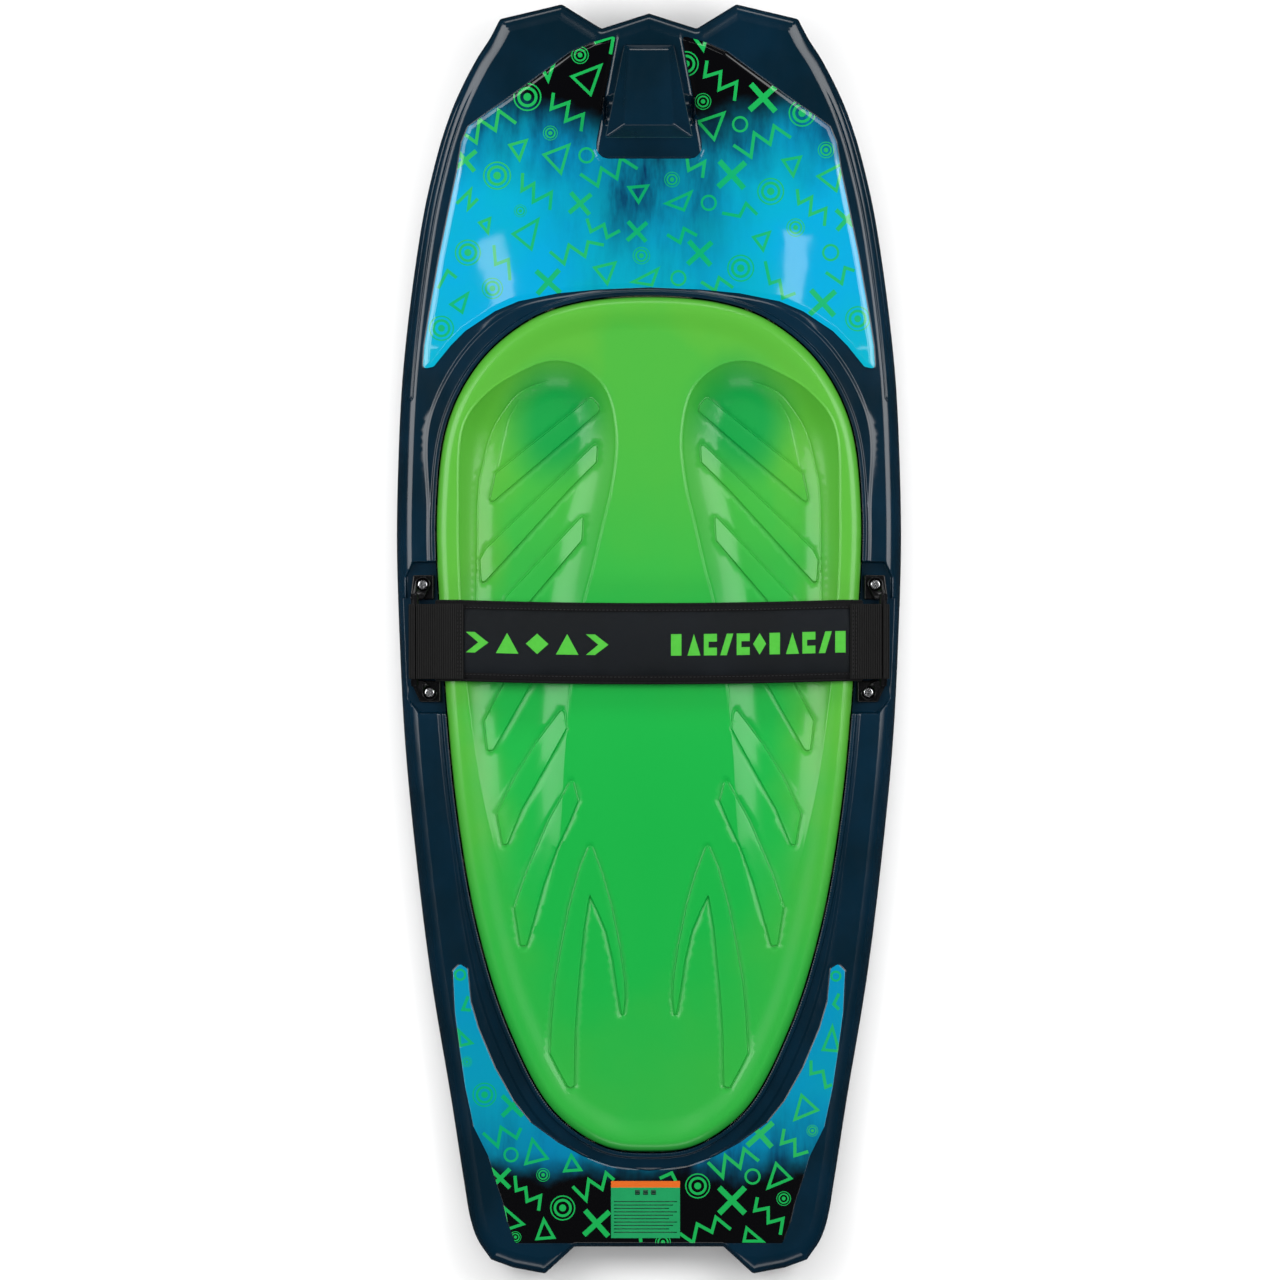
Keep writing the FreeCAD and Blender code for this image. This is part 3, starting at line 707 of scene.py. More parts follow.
def pad_foam():
    """Green foam with painted light and shade: a lighter, warmer green towards the rim and nose as painted
    highlight, and a deeper green in the knee hollows as painted shade; down the middle it keeps its deeper
    base green.
    """
    m = Nodes("pad_foam")
    x, y = m.axes()
    across = m.maths("ABSOLUTE", x)
    wander = m.maths("MULTIPLY", m.maths("SUBTRACT", m.noise(9.0, 3), 0.5), 0.5)
    wide = m.maths("POWER", m.maths("DIVIDE", across, 0.212), 2.0)
    long = m.maths("POWER", m.maths("DIVIDE", m.maths("ADD", y, 0.085), 0.43), 2.0)
    oval = m.maths("ADD", m.maths("SQRT", m.maths("ADD", wide, long)), wander)
    # Painted highlight: a lighter, warmer band round the rim, fading towards the tail, stands for the
    # lamps' sheen on the rounded rim.
    rim = m.maths("MULTIPLY", m.spread(oval, 0.6, 1.0), m.spread(y, -0.4, -0.05, 0.25, 1.0))
    # Painted light: the nose end is painted lighter and warmer, as if lit more strongly from the nose.
    front = m.spread(m.maths("ADD", y, m.maths("MULTIPLY", wander, 0.3)), -0.1, 0.3, 0.0, 0.7)
    painted_light = m.maths("MAXIMUM", rim, front)
    wide = m.maths("POWER", m.maths("SUBTRACT", across, 0.093), 2.0)
    long = m.maths("POWER", m.maths("MULTIPLY", m.maths("SUBTRACT", y, 0.222), 0.8), 2.0)
    # Painted shade: a deeper green at the head of each knee hollow, where the wall faces away from the
    # lamps.
    knee = m.maths("ADD", m.maths("SQRT", m.maths("ADD", wide, long)), m.maths("MULTIPLY", wander, 0.05))
    deep = m.spread(knee, 0.02, 0.066, 1.0, 0.0)
    colour = m.mix(painted_light, srgb(4, 170, 62), srgb(84, 174, 52))
    colour = m.mix(deep, colour, srgb(0, 150, 62))
    grain = m.noise(1400.0, 2)
    m.set(Base_Color=colour, Roughness=0.38, Specular_IOR_Level=0.34)
    m.set(Coat_Weight=0.18, Coat_Roughness=0.13)
    return m.bump(grain, 0.00004, 0.5).material


def film_colours(m, nose):
    """Blue ink with brushed dark streaks, and the share of black that it runs into at the end."""
    x, y = m.axes()
    wander = m.noise(14.0, 4, 0.6)
    streak = m.noise(26.0, 5, 0.65, (1, 0.16, 1))
    shifted = m.maths("ADD", y, m.maths("MULTIPLY", m.maths("SUBTRACT", wander, 0.5), 0.06))
    if nose:
        middle = m.spread(m.maths("ABSOLUTE", x), 0.02, 0.14, 1.0, 0.0)
        shifted = m.maths("ADD", shifted, m.maths("MULTIPLY", middle, 0.03))
        black = m.spread(shifted, 0.498, 0.556)
        down = m.spread(shifted, 0.37, 0.52, 0.25, 1.0)
        dark = m.maths("MULTIPLY", m.maths("MULTIPLY", middle, down),
                       m.spread(streak, 0.3, 0.6, 1.2, 0.5))
        band = m.spread(shifted, 0.435, 0.52)
        band = m.maths("MULTIPLY", band, m.spread(streak, 0.3, 0.7, 1.0, 0.35))
        dark = m.maths("MAXIMUM", dark, band)
    else:
        black = m.spread(shifted, -0.545, -0.505, 1.0, 0.0)
        dark = m.spread(shifted, -0.53, -0.44, 0.95, 0.0)
        dark = m.maths("MULTIPLY", dark, m.spread(streak, 0.3, 0.6, 1.0, 0.3))
    near, far = ((0, 168, 192), (0, 162, 210)) if nose else ((0, 146, 176), (0, 138, 186))
    mottled = m.mix(m.spread(m.noise(8.0, 4), 0.35, 0.7), srgb(*near), srgb(*far))
    blue = m.mix(dark, mottled, srgb(0, 40, 82))
    return blue, black


def graphic_film(name, nose, art):
    """The film's ink, or with art the green of its line art, under a clear gloss coat."""
    m = Nodes(name)
    blue, black = film_colours(m, nose)
    ink = m.mix(black, blue, srgb(1, 1, 3))
    if art:
        green = m.mix(m.spread(m.noise(5.0, 2), 0.35, 0.65), srgb(6, 168, 100), srgb(44, 180, 84))
        ink = m.mix(0.93, ink, m.mix(black, green, srgb(26, 178, 84)))
    wave = m.noise(16.0, 2)
    m.set(Base_Color=ink, Roughness=0.3, Specular_IOR_Level=0.05)
    m.set(Coat_Weight=1.0, Coat_Roughness=0.03, Coat_IOR=1.5)
    made = m.node("Bump", Height=wave, Distance=0.0006, Strength=0.25)
    m.put(m.shader.inputs["Coat Normal"], made.outputs["Normal"])
    return m.material


def plain_film(name, colour):
    m = Nodes(name)
    tint = m.mix(m.noise(60.0, 3), colour, tuple(0.8 * c for c in colour))
    m.set(Base_Color=tint, Roughness=0.35, Specular_IOR_Level=0.1)
    m.set(Coat_Weight=0.4, Coat_Roughness=0.1)
    return m.bump(m.noise(300.0, 2), 0.00005, 0.4).material


def nylon():
    m = Nodes("bracket_nylon")
    colour = m.mix(m.noise(40.0, 4), srgb(7, 7, 8), srgb(15, 15, 17))
    m.set(Base_Color=colour, Specular_IOR_Level=0.3)
    m.set(Roughness=m.spread(m.noise(90.0, 3), 0.3, 0.7, 0.2, 0.28))
    return m.bump(m.noise(1500.0, 2), 0.00003, 0.5).material


def woven(name, dark, light, rib_mm, axis, rough=0.75, depth=0.0002):
    """Cloth of crossed yarns, with ribs across one axis."""
    m = Nodes(name)
    x, y = m.axes()
    along, across = (x, y) if axis == "x" else (y, x)
    turn = 2 * math.pi / (rib_mm * MM)
    ribs = m.maths("SINE", m.maths("MULTIPLY", along, turn))
    yarn = m.maths("SINE", m.maths("MULTIPLY", across, turn * 1.9))
    base = m.maths("MULTIPLY_ADD", ribs, 0.35, 0.5)
    weave = m.maths("MULTIPLY_ADD", m.maths("MULTIPLY", ribs, yarn), 0.25, base)
    fuzz = m.noise(2500.0, 2)
    height = m.maths("MULTIPLY_ADD", fuzz, 0.3, weave)
    # The colour follows the relief: painted shade darkens the hollows between yarns and a painted highlight
    # lightens their crests.
    colour = m.mix(m.spread(height, 0.3, 1.0), dark, light)
    m.set(Base_Color=colour, Roughness=rough, Specular_IOR_Level=0.12)
    m.set(Sheen_Weight=0.02, Sheen_Roughness=0.4)
    return m.bump(height, depth, 0.9).material


def coated_cloth():
    """Smooth cloth with a fine square weave."""
    m = Nodes("strap_cover_cloth")
    x, y = m.axes()
    yarn_mm = 0.9
    turn = 2 * math.pi / (yarn_mm * MM)
    weave = m.maths("MULTIPLY", m.maths("SINE", m.maths("MULTIPLY", x, turn)),
                    m.maths("SINE", m.maths("MULTIPLY", y, turn)))
    colour = m.mix(m.spread(m.noise(12.0, 4), 0.3, 0.7), srgb(4, 9, 13), srgb(9, 15, 21))
    m.set(Base_Color=colour, Specular_IOR_Level=0.16)
    m.set(Roughness=m.spread(m.noise(25.0, 4), 0.3, 0.7, 0.38, 0.5))
    return m.bump(m.maths("MULTIPLY_ADD", m.noise(40.0, 3), 1.5, weave), 0.00009, 0.5).material


def print_ink():
    m = Nodes("strap_print")
    colour = m.mix(m.noise(200.0, 3), srgb(70, 176, 52), srgb(84, 190, 64))
    m.set(Base_Color=colour, Roughness=0.5, Specular_IOR_Level=0.2)
    return m.bump(m.noise(900.0, 2), 0.00008, 0.5).material


def metal(name, colour, rough):
    m = Nodes(name)
    m.set(Base_Color=m.mix(m.noise(400.0, 3), colour, tuple(0.7 * c for c in colour)), Metallic=1.0)
    m.set(Roughness=m.spread(m.noise(700.0, 3), 0.3, 0.7, rough, rough + 0.15))
    return m.bump(m.noise(1200.0, 2), 0.00003, 0.5).material


def foam(name, colour):
    m = Nodes(name)
    cells = m.node("TexVoronoi", Vector=m.place(), Scale=900.0).outputs["Distance"]
    m.set(Base_Color=m.mix(cells, colour, tuple(0.6 * c for c in colour)), Roughness=0.85)
    return m.bump(cells, 0.0003, 0.8).material


def thread():
    m = Nodes("stitch_thread")
    twist = m.maths("SINE", m.maths("MULTIPLY", m.maths("ADD", *m.axes()), 9000.0))
    # The colour follows the twist: a painted highlight on each ply's crest and painted shade in the groove
    # between plies.
    colour = m.mix(m.maths("MULTIPLY_ADD", twist, 0.5, 0.5), srgb(8, 8, 9), srgb(34, 34, 38))
    m.set(Base_Color=colour, Roughness=0.6)
    return m.bump(twist, 0.0001, 0.6).material


SHELL = shell_plastic()
PAD_FOAM = pad_foam()
NYLON = nylon()
WEBBING = woven("ribbed_webbing", srgb(4, 4, 4), srgb(33, 33, 33), 2.2, "x")
BINDING = woven("binding_tape", srgb(4, 4, 5), srgb(24, 24, 26), 1.3, "x")
LINING = woven("strap_lining_cloth", srgb(13, 13, 14), srgb(26, 26, 28), 0.9, "y")
HOOKS = woven("hook_tape", srgb(8, 8, 9), srgb(24, 24, 26), 1.5, "x", 0.8, 0.0006)
LOOPS = woven("loop_tape", srgb(10, 10, 11), srgb(30, 30, 32), 0.8, "y", 0.95, 0.0006)
COVER = coated_cloth()
PRINT = print_ink()
THREAD = thread()
STEEL = metal("screw_steel", (0.74, 0.75, 0.77), 0.16)
BRASS = metal("insert_brass", (0.72, 0.53, 0.24), 0.28)
CORE_FOAM = foam("core_foam", srgb(226, 218, 190))
PADDING = foam("strap_padding", srgb(60, 60, 62))


# ---------------------------------------------------------------- hull
def rings_of(outline, depths, step=3.0):
    return np.vstack([outline.ring(d, step) for d in depths])


def hull_features():
    """Points along everything that bends the top surface sharply."""
    rail = (0.12, 0.3, 0.5, 0.8, 1.2, 2.2, 3.4, 4.2, 4.9, 5.8, 6.6, 8.0, 9.4, 10.2, 11.0, 12.2, 13.2,
            14.2,
            15.0, 16.0)
    lip = (-PAD_GAP - 0.6, -PAD_GAP - 1.7, -4.6, -5.6, -6.4, -7.2)
    side = [rings_of(HULL, rail), rings_of(PAD_EDGE, lip), band_rings((0, 0.25, 0.5, 0.75, 1.0))]
    side += [rings_of(panel, (-2.4, -1.6, -0.8, -0.1, 0.25, 0.8, 1.4)) for panel in (NOSE_PANEL,
            TAIL_PANEL)]
    side.append(rings_of(APRON, (-0.2, 0.4, 1.1, 1.8, 2.4), 2.0))
    side += [rings_of(cut, (-2.2, -1.6, -1.1, -0.6, -0.2, 0.4, 1.2), 2.0) for cut in POCKETS + NOTCHES]
    xs = np.arange(-SEAT_HALF, SEAT_HALF + 0.1, 2.0)
    side += [np.column_stack([xs, np.full(len(xs), SEAT_Y + d)])
             for d in (-14.6, -13.6, -11, -7, -3, 3, 7, 11, 13.6, 14.6)]
    points = np.vstack(side)
    points = points[(HULL.depth(points) > 0.1) & (PAD_EDGE.depth(points) < -PAD_GAP - 0.3)]
    return thinned(points, 0.3)


def thinned(points, apart):
    """The points again, without any that falls in the same small cell as another."""
    _, first = np.unique(np.round(points / apart).astype(int), axis=0, return_index=True)
    return points[np.sort(first)]


def fin_blocks():
    """The tracking ridges under the tail: for each, how deep it stands at four places along it."""
    places = [(-604, -3), (-592, 9), (-554, 9), (-500, -2)]
    half, half_below, root = 3.0, 1.8, 3.0
    faces = [(0, 4, 12, 8), (3, 11, 15, 7)]
    for k in range(3):
        faces += [(k, k + 1, k + 5, k + 4), (k + 8, k + 12, k + 13, k + 9),
                  (k, k + 8, k + 9, k + 1), (k + 4, k + 5, k + 13, k + 12)]
    blocks = []
    for x in (70.0, 128.0, -70.0, -128.0):
        top = [(x + s * half, y, rocker(y) + root) for s in (-1, 1) for y, _ in places]
        low = [(x + s * half_below, y, rocker(y) - deep) for s in (-1, 1) for y, deep in places]
        blocks.append((top + low, faces))
    return blocks


def sheet(loop, line, step, low, up):
    """A flat-meshed sheet inside a loop, at the height that a function of plan points gives."""
    flat, faces, _ = triangulate(np.vstack([loop, fill_grid(line, step, loop)]), [loop])
    faces = counter_clockwise(flat, faces)[:, ::up]
    return np.column_stack([flat, low(flat)]), faces, np.tile((0.0, 0, up), (len(flat), 1))


def build_hull():
    ring = np.round(HULL.points, 3)
    rim = np.round(PAD_EDGE.ring(-PAD_GAP, 2.5), 3)
    rim_line = Outline(rim)
    features = hull_features()
    hard = np.vstack([ring, rim, features])
    grid = fill_grid(HULL, 4.5, hard)
    grid = grid[rim_line.depth(grid) < -1]
    flat, faces, middle = triangulate(np.vstack([hard, grid]), [ring, rim])
    faces = counter_clockwise(flat, faces[rim_line.depth(middle) < 0])
    top = (np.column_stack([flat, shell_top(flat)]), faces, normals_of(shell_top, flat))

    rings = rings_of(HULL, (0.3, 1.2, 3, 6, 10, 15, 20, 26), 4.0)
    hard = np.vstack([ring, rings])
    flat, faces, _ = triangulate(np.vstack([hard, fill_grid(HULL, 12.0, hard)]), [ring])
    faces = counter_clockwise(flat, faces)[:, ::-1]
    edge = {tuple(q) for q in ring.tolist()}
    shared = np.array([tuple(q) in edge for q in flat.tolist()])
    low = np.where(shared, shell_top(flat), hull_bottom(flat))
    bottom = (np.column_stack([flat, low]), faces, normals_of(hull_bottom, flat, -1))

    shaft = wall(rim, shell_top(rim), recess_floor(rim), 2, 1)
    floor = sheet(rim, rim_line, 18.0, recess_floor, 1)
    verts, faces, normals = weld([top, bottom, shaft, floor])
    hull = mesh_object("hull", verts, faces, [SHELL], normals)
    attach(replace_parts(hull, "hull_shell"), "board")
    build_core()
    fins = mesh_object("tracking_ridges", *joined(fin_blocks()), [SHELL])
    beveled(face_outward(fins), 1.6)
    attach(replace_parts(fins, "hull_shell"), "board")


def build_core():
    """The foam inside the hull, which shows nowhere; it keeps 4 mm of shell round it."""
    inset, shell, thinnest = 5.0, 4.0, 1.5
    rim = Outline(HULL.ring(inset, 6.0))
    edge = np.round(rim.points, 3)
    flat, faces, _ = triangulate(np.vstack([edge, fill_grid(rim, 16.0, edge)]), [edge])
    faces = counter_clockwise(flat, faces)
    low = hull_bottom(flat) + shell
    under_deck = np.minimum(hull_top(flat), deck(flat[:, 1]) - 8) - shell
    high = np.where(PAD_EDGE.depth(flat) > -8, recess_floor(flat) - 3.0, under_deck)
    high = np.maximum(high, low + thinnest)
    n = len(flat)
    sides = [(a, b, b + n, a + n) for a, b in open_edges(faces)]
    verts = np.vstack([np.column_stack([flat, low]), np.column_stack([flat, high])])
    faces = faces[:, ::-1].tolist() + (faces + n).tolist() + sides
    core = mesh_object("core_foam_fill", verts, faces, [CORE_FOAM])
    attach(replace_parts(core, "foam_core"), "board")


def build_tow_hook():
    """A tongue that widens and rises to the rear, on a neck; its top is framed by bevels."""
    front, rear = 594.0, 500.5
    under = [(-24, front, 112.5), (24, front, 112.5), (43, rear, 121), (-43, rear, 121)]
    foot = [(-25, front, 115.5), (25, front, 115.5), (44, rear, 124.5), (-44, rear, 124.5)]
    top = [(-19.5, front - 5, 121), (19.5, front - 5, 121), (24.5, rear + 13, 138),
           (-24.5, rear + 13, 138)]
    faces = [(0, 1, 2, 3), (8, 11, 10, 9)]
    for low in (0, 4):
        faces += [(low + k, low + 4 + k, low + 4 + (k + 1) % 4, low + (k + 1) % 4) for k in range(4)]
    tongue = mesh_object("tow_hook", under + foot + top, faces, [SHELL])
    beveled(face_outward(tongue), 2.2, 5, 15)
    foot = [(-29, 553), (29, 553), (22, front), (-22, front)]
    neck = mesh_object("tow_hook_neck", *prism_mesh(foot, 96, 116), [SHELL])
    beveled(face_outward(neck), 3.0, 4)
    for piece in (tongue, neck):
        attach(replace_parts(piece, "hull_shell"), "board")


# ---------------------------------------------------------------- printed films
def stroke(points, width, closed=False):
    """The outline of a line of some width along the points, with mitred corners."""
    p = np.array(points, float)
    n = len(p)
    left, right = [], []
    for i in range(n):
        before = p[i] - p[i - 1] if closed or i > 0 else p[1] - p[0]
        after = p[(i + 1) % n] - p[i] if closed or i < n - 1 else p[i] - p[i - 1]
        before, after = before / np.linalg.norm(before), after / np.linalg.norm(after)
        normal = np.array([-before[1] - after[1], before[0] + after[0]])
        normal /= np.linalg.norm(normal)
        reach = width / 2 / max(0.35, abs(normal @ (-before[1], before[0])))
        left.append(p[i] + normal * reach)
        right.append(p[i] - normal * reach)
    if closed:
        return [np.array(left), np.array(right)]
    return [np.array(left + right[::-1])]


def circle(x, y, r, count=28):
    a = np.linspace(0, 2 * math.pi, count, endpoint=False)
    return np.column_stack([x + r * np.cos(a), y + r * np.sin(a)])


def ring_shape(x, y, r, width):
    return [circle(x, y, r + width / 2), circle(x, y, r - width / 2, 24)]


def cross(x, y, size, turn):
    arm = size * 0.74
    bars = []
    for angle in (turn, turn + 90):
        a = math.radians(angle)
        d = np.array([math.cos(a), math.sin(a)]) * arm * 1.3
        bars += stroke([np.array([x, y]) - d, np.array([x, y]) + d], size * 0.3)
    return bars


def disc_mark(x, y, r):
    """A plain round mark: two rings and a dot."""
    marks = ring_shape(x, y, r * 0.92, r * 0.1) + ring_shape(x, y, r * 0.6, r * 0.2)
    return marks + [circle(x, y, r * 0.27, 16)]


# Line art of the films: lines through points, corners of triangles, and then crosses as (x, y, size,
# turn in degrees) and rings and round marks as (x, y, radius).
LINE = 3.3
NOSE_STROKES = [
    [(-54.5, 595.4), (-35.4, 601.7), (-38.5, 584.2)],
    [(-107, 571.4), (-100.7, 558.7), (-94.3, 576.9)],
    [(-95.3, 545.9), (-97.5, 530), (-80, 536.4), (-83.2, 517.9), (-65.6, 524.6), (-67.9, 507.7)],
    [(-132.6, 515.6), (-150.1, 528.4), (-153.3, 508.6), (-169.3, 519.5), (-172.5, 496.5),
     (-183.6, 504.5)],
    [(-68.8, 465.3), (-51.3, 453.5), (-47.5, 471), (-32.2, 460.8), (-28.3, 481.2), (-11.4, 470.4)],
    [(-126.2, 466.2), (-126.9, 448.7), (-115, 455.7), (-115.7, 437.5), (-97.5, 447), (-99.1, 429.5)],
    [(-192.2, 435.9), (-178.2, 449.3), (-180.4, 431.1), (-170.9, 440.7)],
    [(-99, 388), (-84.8, 376), (-80, 394.5), (-64, 383.3), (-60.9, 397.7), (-45, 394.5)],
    [(-155, 394.5), (-153.3, 375.3), (-140.6, 380.1), (-139, 359.4)],
    [(-210.7, 351.4), (-201.2, 369), (-192.2, 361.9)],
    [(-62, 421), (-58, 408), (-45, 415), (-42, 402), (-29, 409)],
    [(44.4, 601.7), (53.9, 589), (56.5, 598.5)],
    [(57.8, 577.8), (55.5, 561.9), (71.5, 566.7), (69.9, 549.1), (87.4, 556.5), (85.2, 538)],
    [(84.2, 494), (101.8, 482.2), (105, 506), (120.9, 494.9), (124.7, 513), (141.6, 501.3)],
    [(38, 480.6), (39.6, 469), (55.5, 477.4), (53.3, 461.4)],
    [(148, 450.3), (149.6, 435.9), (162.4, 442.3), (160.8, 424.8), (176.7, 431.1), (175.1, 413.6)],
    [(73, 426.4), (90.6, 423.2), (97, 435.9), (108.1, 424.8)],
    [(116.1, 378.5), (120.9, 356.2), (130.5, 359.4), (133.7, 341.8), (146.4, 346.6)],
    [(176.7, 367.4), (192.6, 356.2), (195.8, 372.1), (205.4, 369)],
    [(52, 358), (66, 349), (70, 362), (84, 352)],
    [(18, 405), (31, 397), (35, 411), (48, 404)],
]
NOSE_TRIANGLES = [
    [(-48.1, 573), (-76.8, 561.9), (-58.3, 544.3)], [(-139, 494), (-122.4, 498.7), (-129.4, 479.6)],
    [(-104.9, 484.4), (-80, 494), (-88, 466.2)], [(-20, 451.9), (-1.5, 453.5), (-10.5, 437.5)],
    [(-135.8, 405.6), (-110.9, 420), (-117.6, 390.6)], [(-54.5, 372), (-33.8, 377), (-41.7, 356.2)],
    [(-198, 335.5), (-181.4, 346), (-186.8, 327.5)], [(-169.3, 416.8), (-159, 421), (-161, 407)],
    [(49.2, 517.2), (74.7, 525.8), (65, 499.7)], [(133.7, 479), (151.2, 482.2), (143.9, 463.7)],
    [(168.7, 463), (193.6, 475.8), (187, 448.7)], [(17.3, 435.9), (41.8, 447.1), (34.8, 429.5)],
    [(104.3, 402.4), (120.3, 407.2), (113.9, 389.7)], [(-16.2, 357.8), (8.7, 370.6), (2.9, 354.6)],
]
NOSE_CROSSES = [(-183.6, 479, 15, 40), (-68.8, 435.9, 15, 40), (-100.7, 357.8, 17, 48),
                (113.9, 541, 19, 42),
                (82.6, 464.6, 19, 42), (50.7, 386.5, 17, 42), (173.5, 337, 18, 42), (197.4, 420, 15, 48),
                (-12, 408, 14, 42)]
NOSE_RINGS = [(-62.5, 483.8, 7), (90.9, 514.7, 7), (59.7, 436.6, 7), (29.4, 361.6, 7),
              (181.5, 387.1, 7.5)]
NOSE_DISCS = [(-68.8, 583.2, 9), (-121.4, 541.8, 14.5), (-98.5, 506, 7.6), (23, 459.8, 8),
              (-151.7, 463.7, 14.5),
              (-128.5, 428.6, 6.5), (-181, 387.1, 13.5), (-7.6, 384, 9), (-207.5, 311.6, 13),
              (-156.5, 351.4, 11),
              (37, 574.6, 13), (53.9, 537.3, 8.5), (152.8, 525.8, 14), (176.7, 489.2, 8.5),
              (121.5, 448, 14),
              (146.4, 412, 9.5), (91.6, 371.5, 14), (208.6, 321.1, 13)]
TAIL_STROKES = [
    [(-180.9, -356.3), (-186.2, -369.6), (-178.2, -370.2)],
    [(-166, -493), (-151.4, -506.3), (-148, -487.5), (-132.6, -498), (-128, -488)],
    [(-134, -535.7), (-132.7, -550.5), (-123.3, -547.8), (-121.9, -561.2), (-108.5, -555.8),
     (-110.4, -570.6)],
    [(-76.4, -546.5), (-63, -559.9), (-60.3, -539.8), (-46.9, -549.1), (-42.9, -533), (-34.9, -540)],
    [(-22, -596), (-10, -590), (-8, -602)],
    [(190.1, -353.6), (184.8, -364.3), (190.1, -369.6)],
    [(162, -420.5), (162, -433.9), (174, -431.3), (176.7, -447.3), (183, -444.7)],
    [(135.2, -488.9), (132.5, -503.6), (145.9, -499.6), (145.9, -515.6), (159.3, -511.6)],
    [(58.9, -522.3), (73.6, -537), (76.3, -515.6), (91, -527.7), (95, -509), (109.8, -521)],
    [(108.4, -557.2), (105.8, -570.6), (119.2, -567.9), (119.2, -582.6), (133.9, -578.6),
     (131.2, -594.7)],
    [(30.8, -593.3), (44.1, -602.7), (48.2, -584), (62.9, -592), (66.9, -577.3), (81.7, -589.3)],
    [(10.7, -538.4), (22.7, -533), (26.7, -541)],
]
TAIL_TRIANGLES = [
    [(-190.2, -391), (-177.4, -403.1), (-188.9, -405.8)],
    [(-116.6, -499.6), (-101.8, -518.3), (-123.3, -523.7)],
    [(-77.7, -515.6), (-68.4, -529.8), (-84.4, -530.9)], [(-144.7, -567.9), (-126, -584), (-142, -589.3)],
    [(-105.1, -579.9), (-95.2, -597.3), (-112, -598.7)], [(183.4, -387.1), (190, -411.2), (174, -409.8)],
    [(152.6, -455.4), (168.7, -470.1), (145.9, -479.5)],
    [(127.2, -523.7), (141.9, -538.4), (119.2, -547.8)],
    [(97.7, -588), (113, -601), (95, -601)],
]
TAIL_CROSSES = [(-136.7, -466, 15, 45), (-148.7, -538.4, 14, 45), (-52.3, -583.2, 18, 42),
                (111.1, -494.2, 18, 42),
                (83, -560.4, 19, 45)]
TAIL_RINGS = [(-188.9, -334.8, 5), (-138, -514.8, 6.5), (186.9, -336.2, 4.5), (103.6, -536.5, 7)]
TAIL_DISCS = [(-182.2, -421.9, 5.5), (-164.5, -454.8, 12.5), (-105.9, -534.9, 7), (-86.3, -567.9, 13),
              (-133.5, -597, 6), (163.4, -490.7, 6), (48.7, -545.9, 13), (134.7, -558.5, 7.5),
              (14, -602, 8)]


def art_shapes(strokes, triangles, crosses, rings, discs):
    """Marks made of closed loops: ink is where a point is inside an odd number of a mark's loops."""
    marks = [stroke(points, LINE) for points in strokes]
    marks += [stroke(points, LINE * 0.9, closed=True) for points in triangles]
    marks += [[bar] for mark in crosses for bar in cross(*mark)]
    marks += [ring_shape(x, y, r, LINE * 0.7) for x, y, r in rings]
    return marks + [disc_mark(*mark) for mark in discs]


def within(p, loop):
    """True for the points inside a closed loop."""
    x, y = p[:, 0], p[:, 1]
    odd = np.zeros(len(p), bool)
    for (x0, y0), (x1, y1) in zip(loop, np.roll(loop, -1, 0)):
        if y0 != y1:
            crosses = (y0 > y) != (y1 > y)
            odd ^= crosses & (x < (x1 - x0) * (y - y0) / (y1 - y0) + x0)
    return odd


def build_film(name, node, panel, shapes, background, art):
    """A film on the deck, its print cut into the mesh as faces of a second material."""
    marks = art_shapes(*shapes)
    edge = np.round(panel.points, 3)
    loops = [edge] + [divided(loop, 6.0) for mark in marks for loop in mark]
    band = rings_of(PAD_EDGE, (-11, -13, -15, -19, -23, -28))
    band = band[panel.depth(band) > 1.2]
    rolled = rings_of(panel, (0.5, 1.2, 2.2, 3.2, 4.2, 5.2, 6.2))
    rail = rings_of(HULL, (8, 9.4, 11, 12.2, 14))
    inner = thinned(np.vstack([rolled, rail, band]), 0.6)
    inner = inner[panel.depth(inner) > 0.3]
    hard = np.vstack([edge, inner])
    grid = fill_grid(panel, 4.0, hard)
    flat, faces, middle = triangulate(np.vstack([hard, grid]), loops)
    inked = np.zeros(len(faces), bool)
    for mark in marks:
        lo = np.vstack(mark).min(0) - 1
        hi = np.vstack(mark).max(0) + 1
        near = np.flatnonzero(((middle > lo) & (middle < hi)).all(1))
        odd = np.zeros(len(near), bool)
        for loop in mark:
            odd ^= within(middle[near], loop)
        inked[near] |= odd
    faces = counter_clockwise(flat, faces)
    used, where = np.unique(faces, return_inverse=True)
    faces, flat = where.reshape(-1, 3), flat[used]
    verts, faces, normals, extra = thickened(flat, faces, FILM_LIFT, FILM_THICK)
    slots = np.concatenate([inked.astype(int), np.zeros(extra, int)])
    film = mesh_object(name, verts, faces, [background, art], normals, slots)
    STRIP_LIT.objects.link(film)
    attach(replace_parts(film, node), "board")


def thickened(flat, faces, lift, thick):
    """A closed sheet on the deck: its top, its underside and its edge."""
    n = len(flat)
    up = normals_of(hull_top, flat)
    top = hull_top(flat) + lift
    rim = open_edges(faces)
    verts = np.vstack([np.column_stack([flat, top]), np.column_stack([flat, top - thick])])
    under = (faces[:, ::-1] + n).tolist()
    sides = [(a, a + n, b + n) for a, b in rim] + [(a, b + n, b) for a, b in rim]
    return verts, faces.tolist() + under + sides, np.vstack([up, -up]), len(under) + len(sides)


def grid_sheet(xs, ys):
    """Plan points in rows, and the triangles between them."""
    n = len(xs)
    flat = np.array([(x, y) for y in ys for x in xs])
    corners = [j * n + i for j in range(len(ys) - 1) for i in range(n - 1)]
    return flat, np.array([t for a in corners for t in ((a, a + 1, a + n + 1), (a, a + n + 1, a + n))])


